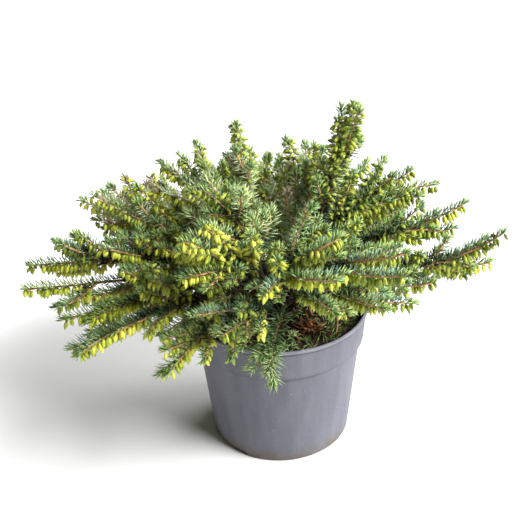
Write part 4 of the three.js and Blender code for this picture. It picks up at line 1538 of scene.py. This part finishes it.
def make_fallen_needles(rng):
    for tint, count in FALLEN_NEEDLES:
        roots = scattered(rng, count, NEEDLES_FROM, NEEDLES_TO) + LITTER_LIFT * UP
        fallen = strewn(roots, rng, **FALLEN_NEEDLE)
        piece(mesh_object("fallen_" + tint, *fallen, NEEDLE_TINTS[tint]), "soil", "soil")


def make_fallen_leaves(rng):
    """Single dead leaves, and a tuft of long ones that lies spread on the mix."""
    leaves = Bundle()
    roots = scattered(rng, FALLEN_LEAVES, LEAVES_FROM, LEAVES_TO) + LITTER_LIFT * UP
    leaves.add(*strewn(roots, rng, **FALLEN_LEAF_SHAPE))
    roots = np.array(TUFT_PLACE) + rng.normal(0, 1, (TUFT_LEAVES, 3)) * TUFT_SPREAD
    leaves.add(*strewn(roots, rng, **TUFT_SHAPE))
    piece(mesh_object("fallen_leaves", *leaves.arrays(), FALLEN_LEAF), "soil", "soil")


def make_star(rng):
    """A star of fresh needles on the mix."""
    turn = rng.uniform(0, 2 * math.pi, STAR_NEEDLES)
    rise = rng.uniform(-0.1, 1.2, STAR_NEEDLES)
    directions = unit(np.stack([np.cos(turn), np.sin(turn) - 0.4, rise], 1))
    roots = np.tile(np.array(STAR_PLACE), (STAR_NEEDLES, 1))
    star = spray(roots, directions, rng, (6, 9), 1.5)
    piece(mesh_object("star_sprig", *star, NEEDLE_TINTS["pale"]), "soil", "soil")


def make_bare_stalk():
    foot, top = np.array(STALK_ENDS, float)
    shares = np.linspace(0, 1, STALK_POINTS)[:, None]
    centres = foot + (top - foot) * shares + np.sin(shares * math.pi * 2) * [0.8, 0.4, 0]
    stalk = tube(centres, np.full(STALK_POINTS, 0.9), 6)
    piece(mesh_object("bare_stalk", *stalk, STEM_YOUNG), "soil", "soil")


def make_dry_leaf(rng):
    """A dry leaf caught in the crown."""
    directions = unit(np.array(LEAF_HEADING) + rng.normal(0, 0.25, (LEAF_FOLDS, 3)))
    roots = np.array(LEAF_PLACE) + rng.normal(0, 1.2, (LEAF_FOLDS, 3))
    leaf = spray(roots, directions, rng, (8, 13), 2.4)
    piece(mesh_object("dry_leaf", *leaf, DRY_LEAF), "foliage", "mass_upper_03", "mass_upper_07")


def moss_tuft(place, rng):
    turn = rng.uniform(0, 2 * math.pi, MOSS_BLADES)
    lean = rng.uniform(0.1, 1.2, MOSS_BLADES)
    roots = place + np.column_stack([rng.normal(0, 2.4, (MOSS_BLADES, 2)), np.zeros(MOSS_BLADES)])
    roots = roots[np.hypot(roots[:, 0], roots[:, 1]) < MOSS_TO]
    turn, lean = turn[: len(roots)], lean[: len(roots)]
    directions = np.stack([np.sin(lean) * np.cos(turn), np.sin(lean) * np.sin(turn), np.cos(lean)], 1)
    ones = np.ones(len(roots))
    return needles(roots, directions, frames_of(directions)[0], 2.6 * ones, 0.9 * ones, ones)


def make_moss(rng):
    moss = Bundle()
    for place in scattered(rng, MOSS_TUFTS, MOSS_FROM, MOSS_TO):
        moss.add(*moss_tuft(place, rng))
    piece(mesh_object("moss", *moss.arrays(), MOSS), "soil", "soil")


def make_litter():
    rng = np.random.default_rng(SEED + 2)
    make_crumbs(rng)
    make_fallen_needles(rng)
    make_fallen_leaves(rng)
    make_star(rng)
    make_bare_stalk()
    make_dry_leaf(rng)
    make_moss(rng)


# Stock and boughs


def bark_relief(turns, lengths, rng):
    """How far bark stands out, from long ridges that wander and break up."""
    ridges = np.zeros(np.broadcast(turns, lengths).shape)
    for _ in range(BARK_RIDGES):
        count, phase, drift = rng.integers(4, 13), rng.uniform(0, 2 * math.pi), rng.uniform(-0.12, 0.12)
        ridges += np.sin(count * turns + phase + drift * lengths + 0.8 * np.sin(lengths / rng.uniform(3, 8)))
    return ridges / 3


def barked_tube(centres, radii, frames, bark, rng, lengths):
    """A tube with bark relief, closed at both ends. The bark is its corners round and its depth."""
    sides, depth = bark
    turns = 2 * math.pi * np.arange(sides) / sides
    relief = 1 + depth * bark_relief(turns[None, :], lengths[:, None], rng)
    points = rings(centres, frames, radii[:, None] * relief, sides)
    rows = len(centres)
    ends = first_end(sides) + last_end((rows - 1) * sides, sides)
    return points, np.vstack([strip(rows, sides), ends])


def make_wood():
    rng = np.random.default_rng(SEED + 3)
    wood = Bundle()
    shares = np.linspace(0, 1, STOCK_ROWS)
    centres = np.array([stock_centre(share) for share in shares])
    radii = stock_radius(shares) * (1 - STOCK_SLIMMER)
    wood.add(*barked_tube(centres, radii, level_frames(STOCK_ROWS), STOCK_BARK, rng, shares * STOCK_HEIGHT))
    shares = np.linspace(-BOUGH_SUNK, 1.0, BOUGH_ROWS)
    radii = BOUGH_FOOT_RADIUS + (BOUGH_TIP_RADIUS - BOUGH_FOOT_RADIUS) * shares
    radii = radii * (1 + BOUGH_FLARE * np.exp(-BOUGH_FLARE_FALL * np.clip(shares, 0, 1)))
    for limb in LIMBS:
        bough = limb["bough"]
        lengths = shares * bough.length
        wood.add(*barked_tube(bough.at(shares), radii, bough.frames(shares), BOUGH_BARK, rng, lengths))
    nodes = ["stock"] + ["bough_" + limb["name"] for limb in LIMBS]
    piece(mesh_object("bark", *wood.arrays(), BARK), "bark", *nodes)


# Camera, light and stage


def place_camera():
    right = np.array([1.0, 0, 0])
    cos, sin = math.cos(CAMERA_ROLL), math.sin(CAMERA_ROLL)
    data = bpy.data.cameras.new("camera")
    data.sensor_width = SENSOR_WIDTH
    data.lens = SENSOR_WIDTH * FOCAL_PIXELS / PHOTO_WIDTH
    data.clip_start = 0.01
    data.clip_end = 100
    camera = bpy.data.objects.new("camera", data)
    matrix = np.eye(4)
    matrix[:3, 0] = right * cos + CAMERA_UP * sin
    matrix[:3, 1] = CAMERA_UP * cos - right * sin
    matrix[:3, 2] = -CAMERA_AHEAD
    matrix[:3, 3] = CAMERA_PLACE * MM
    camera.matrix_world = Matrix(matrix.tolist())
    bpy.context.scene.collection.objects.link(camera)
    bpy.context.scene.camera = camera


def light_and_stage():
    scene = bpy.context.scene
    scene.view_settings.view_transform = "Standard"
    world = bpy.data.worlds.new("studio")
    world.use_nodes = True
    world.node_tree.nodes["Background"].inputs["Color"].default_value = (1, 1, 1, 1)
    world.node_tree.nodes["Background"].inputs["Strength"].default_value = WORLD_STRENGTH
    scene.world = world
    for name, place, strength in SUNS:
        data = bpy.data.lights.new(name, "SUN")
        data.energy = strength
        data.angle = SUN_SOFTNESS
        lamp = bpy.data.objects.new(name, data)
        lamp.rotation_euler = Vector(place).to_track_quat("Z", "Y").to_euler()
        scene.collection.objects.link(lamp)
    half = FLOOR_SIZE / 2
    corners = [[-half, -half, 0], [half, -half, 0], [half, half, 0], [-half, half, 0]]
    floor = mesh_object("floor", np.array(corners), [[0, 1, 2, 3]], FLOOR_PAPER)
    floor.location.z = -FLOOR_DROP * MM


place_camera()
make_pot()
make_soil()
make_litter()
make_wood()
grow_crown()
light_and_stage()
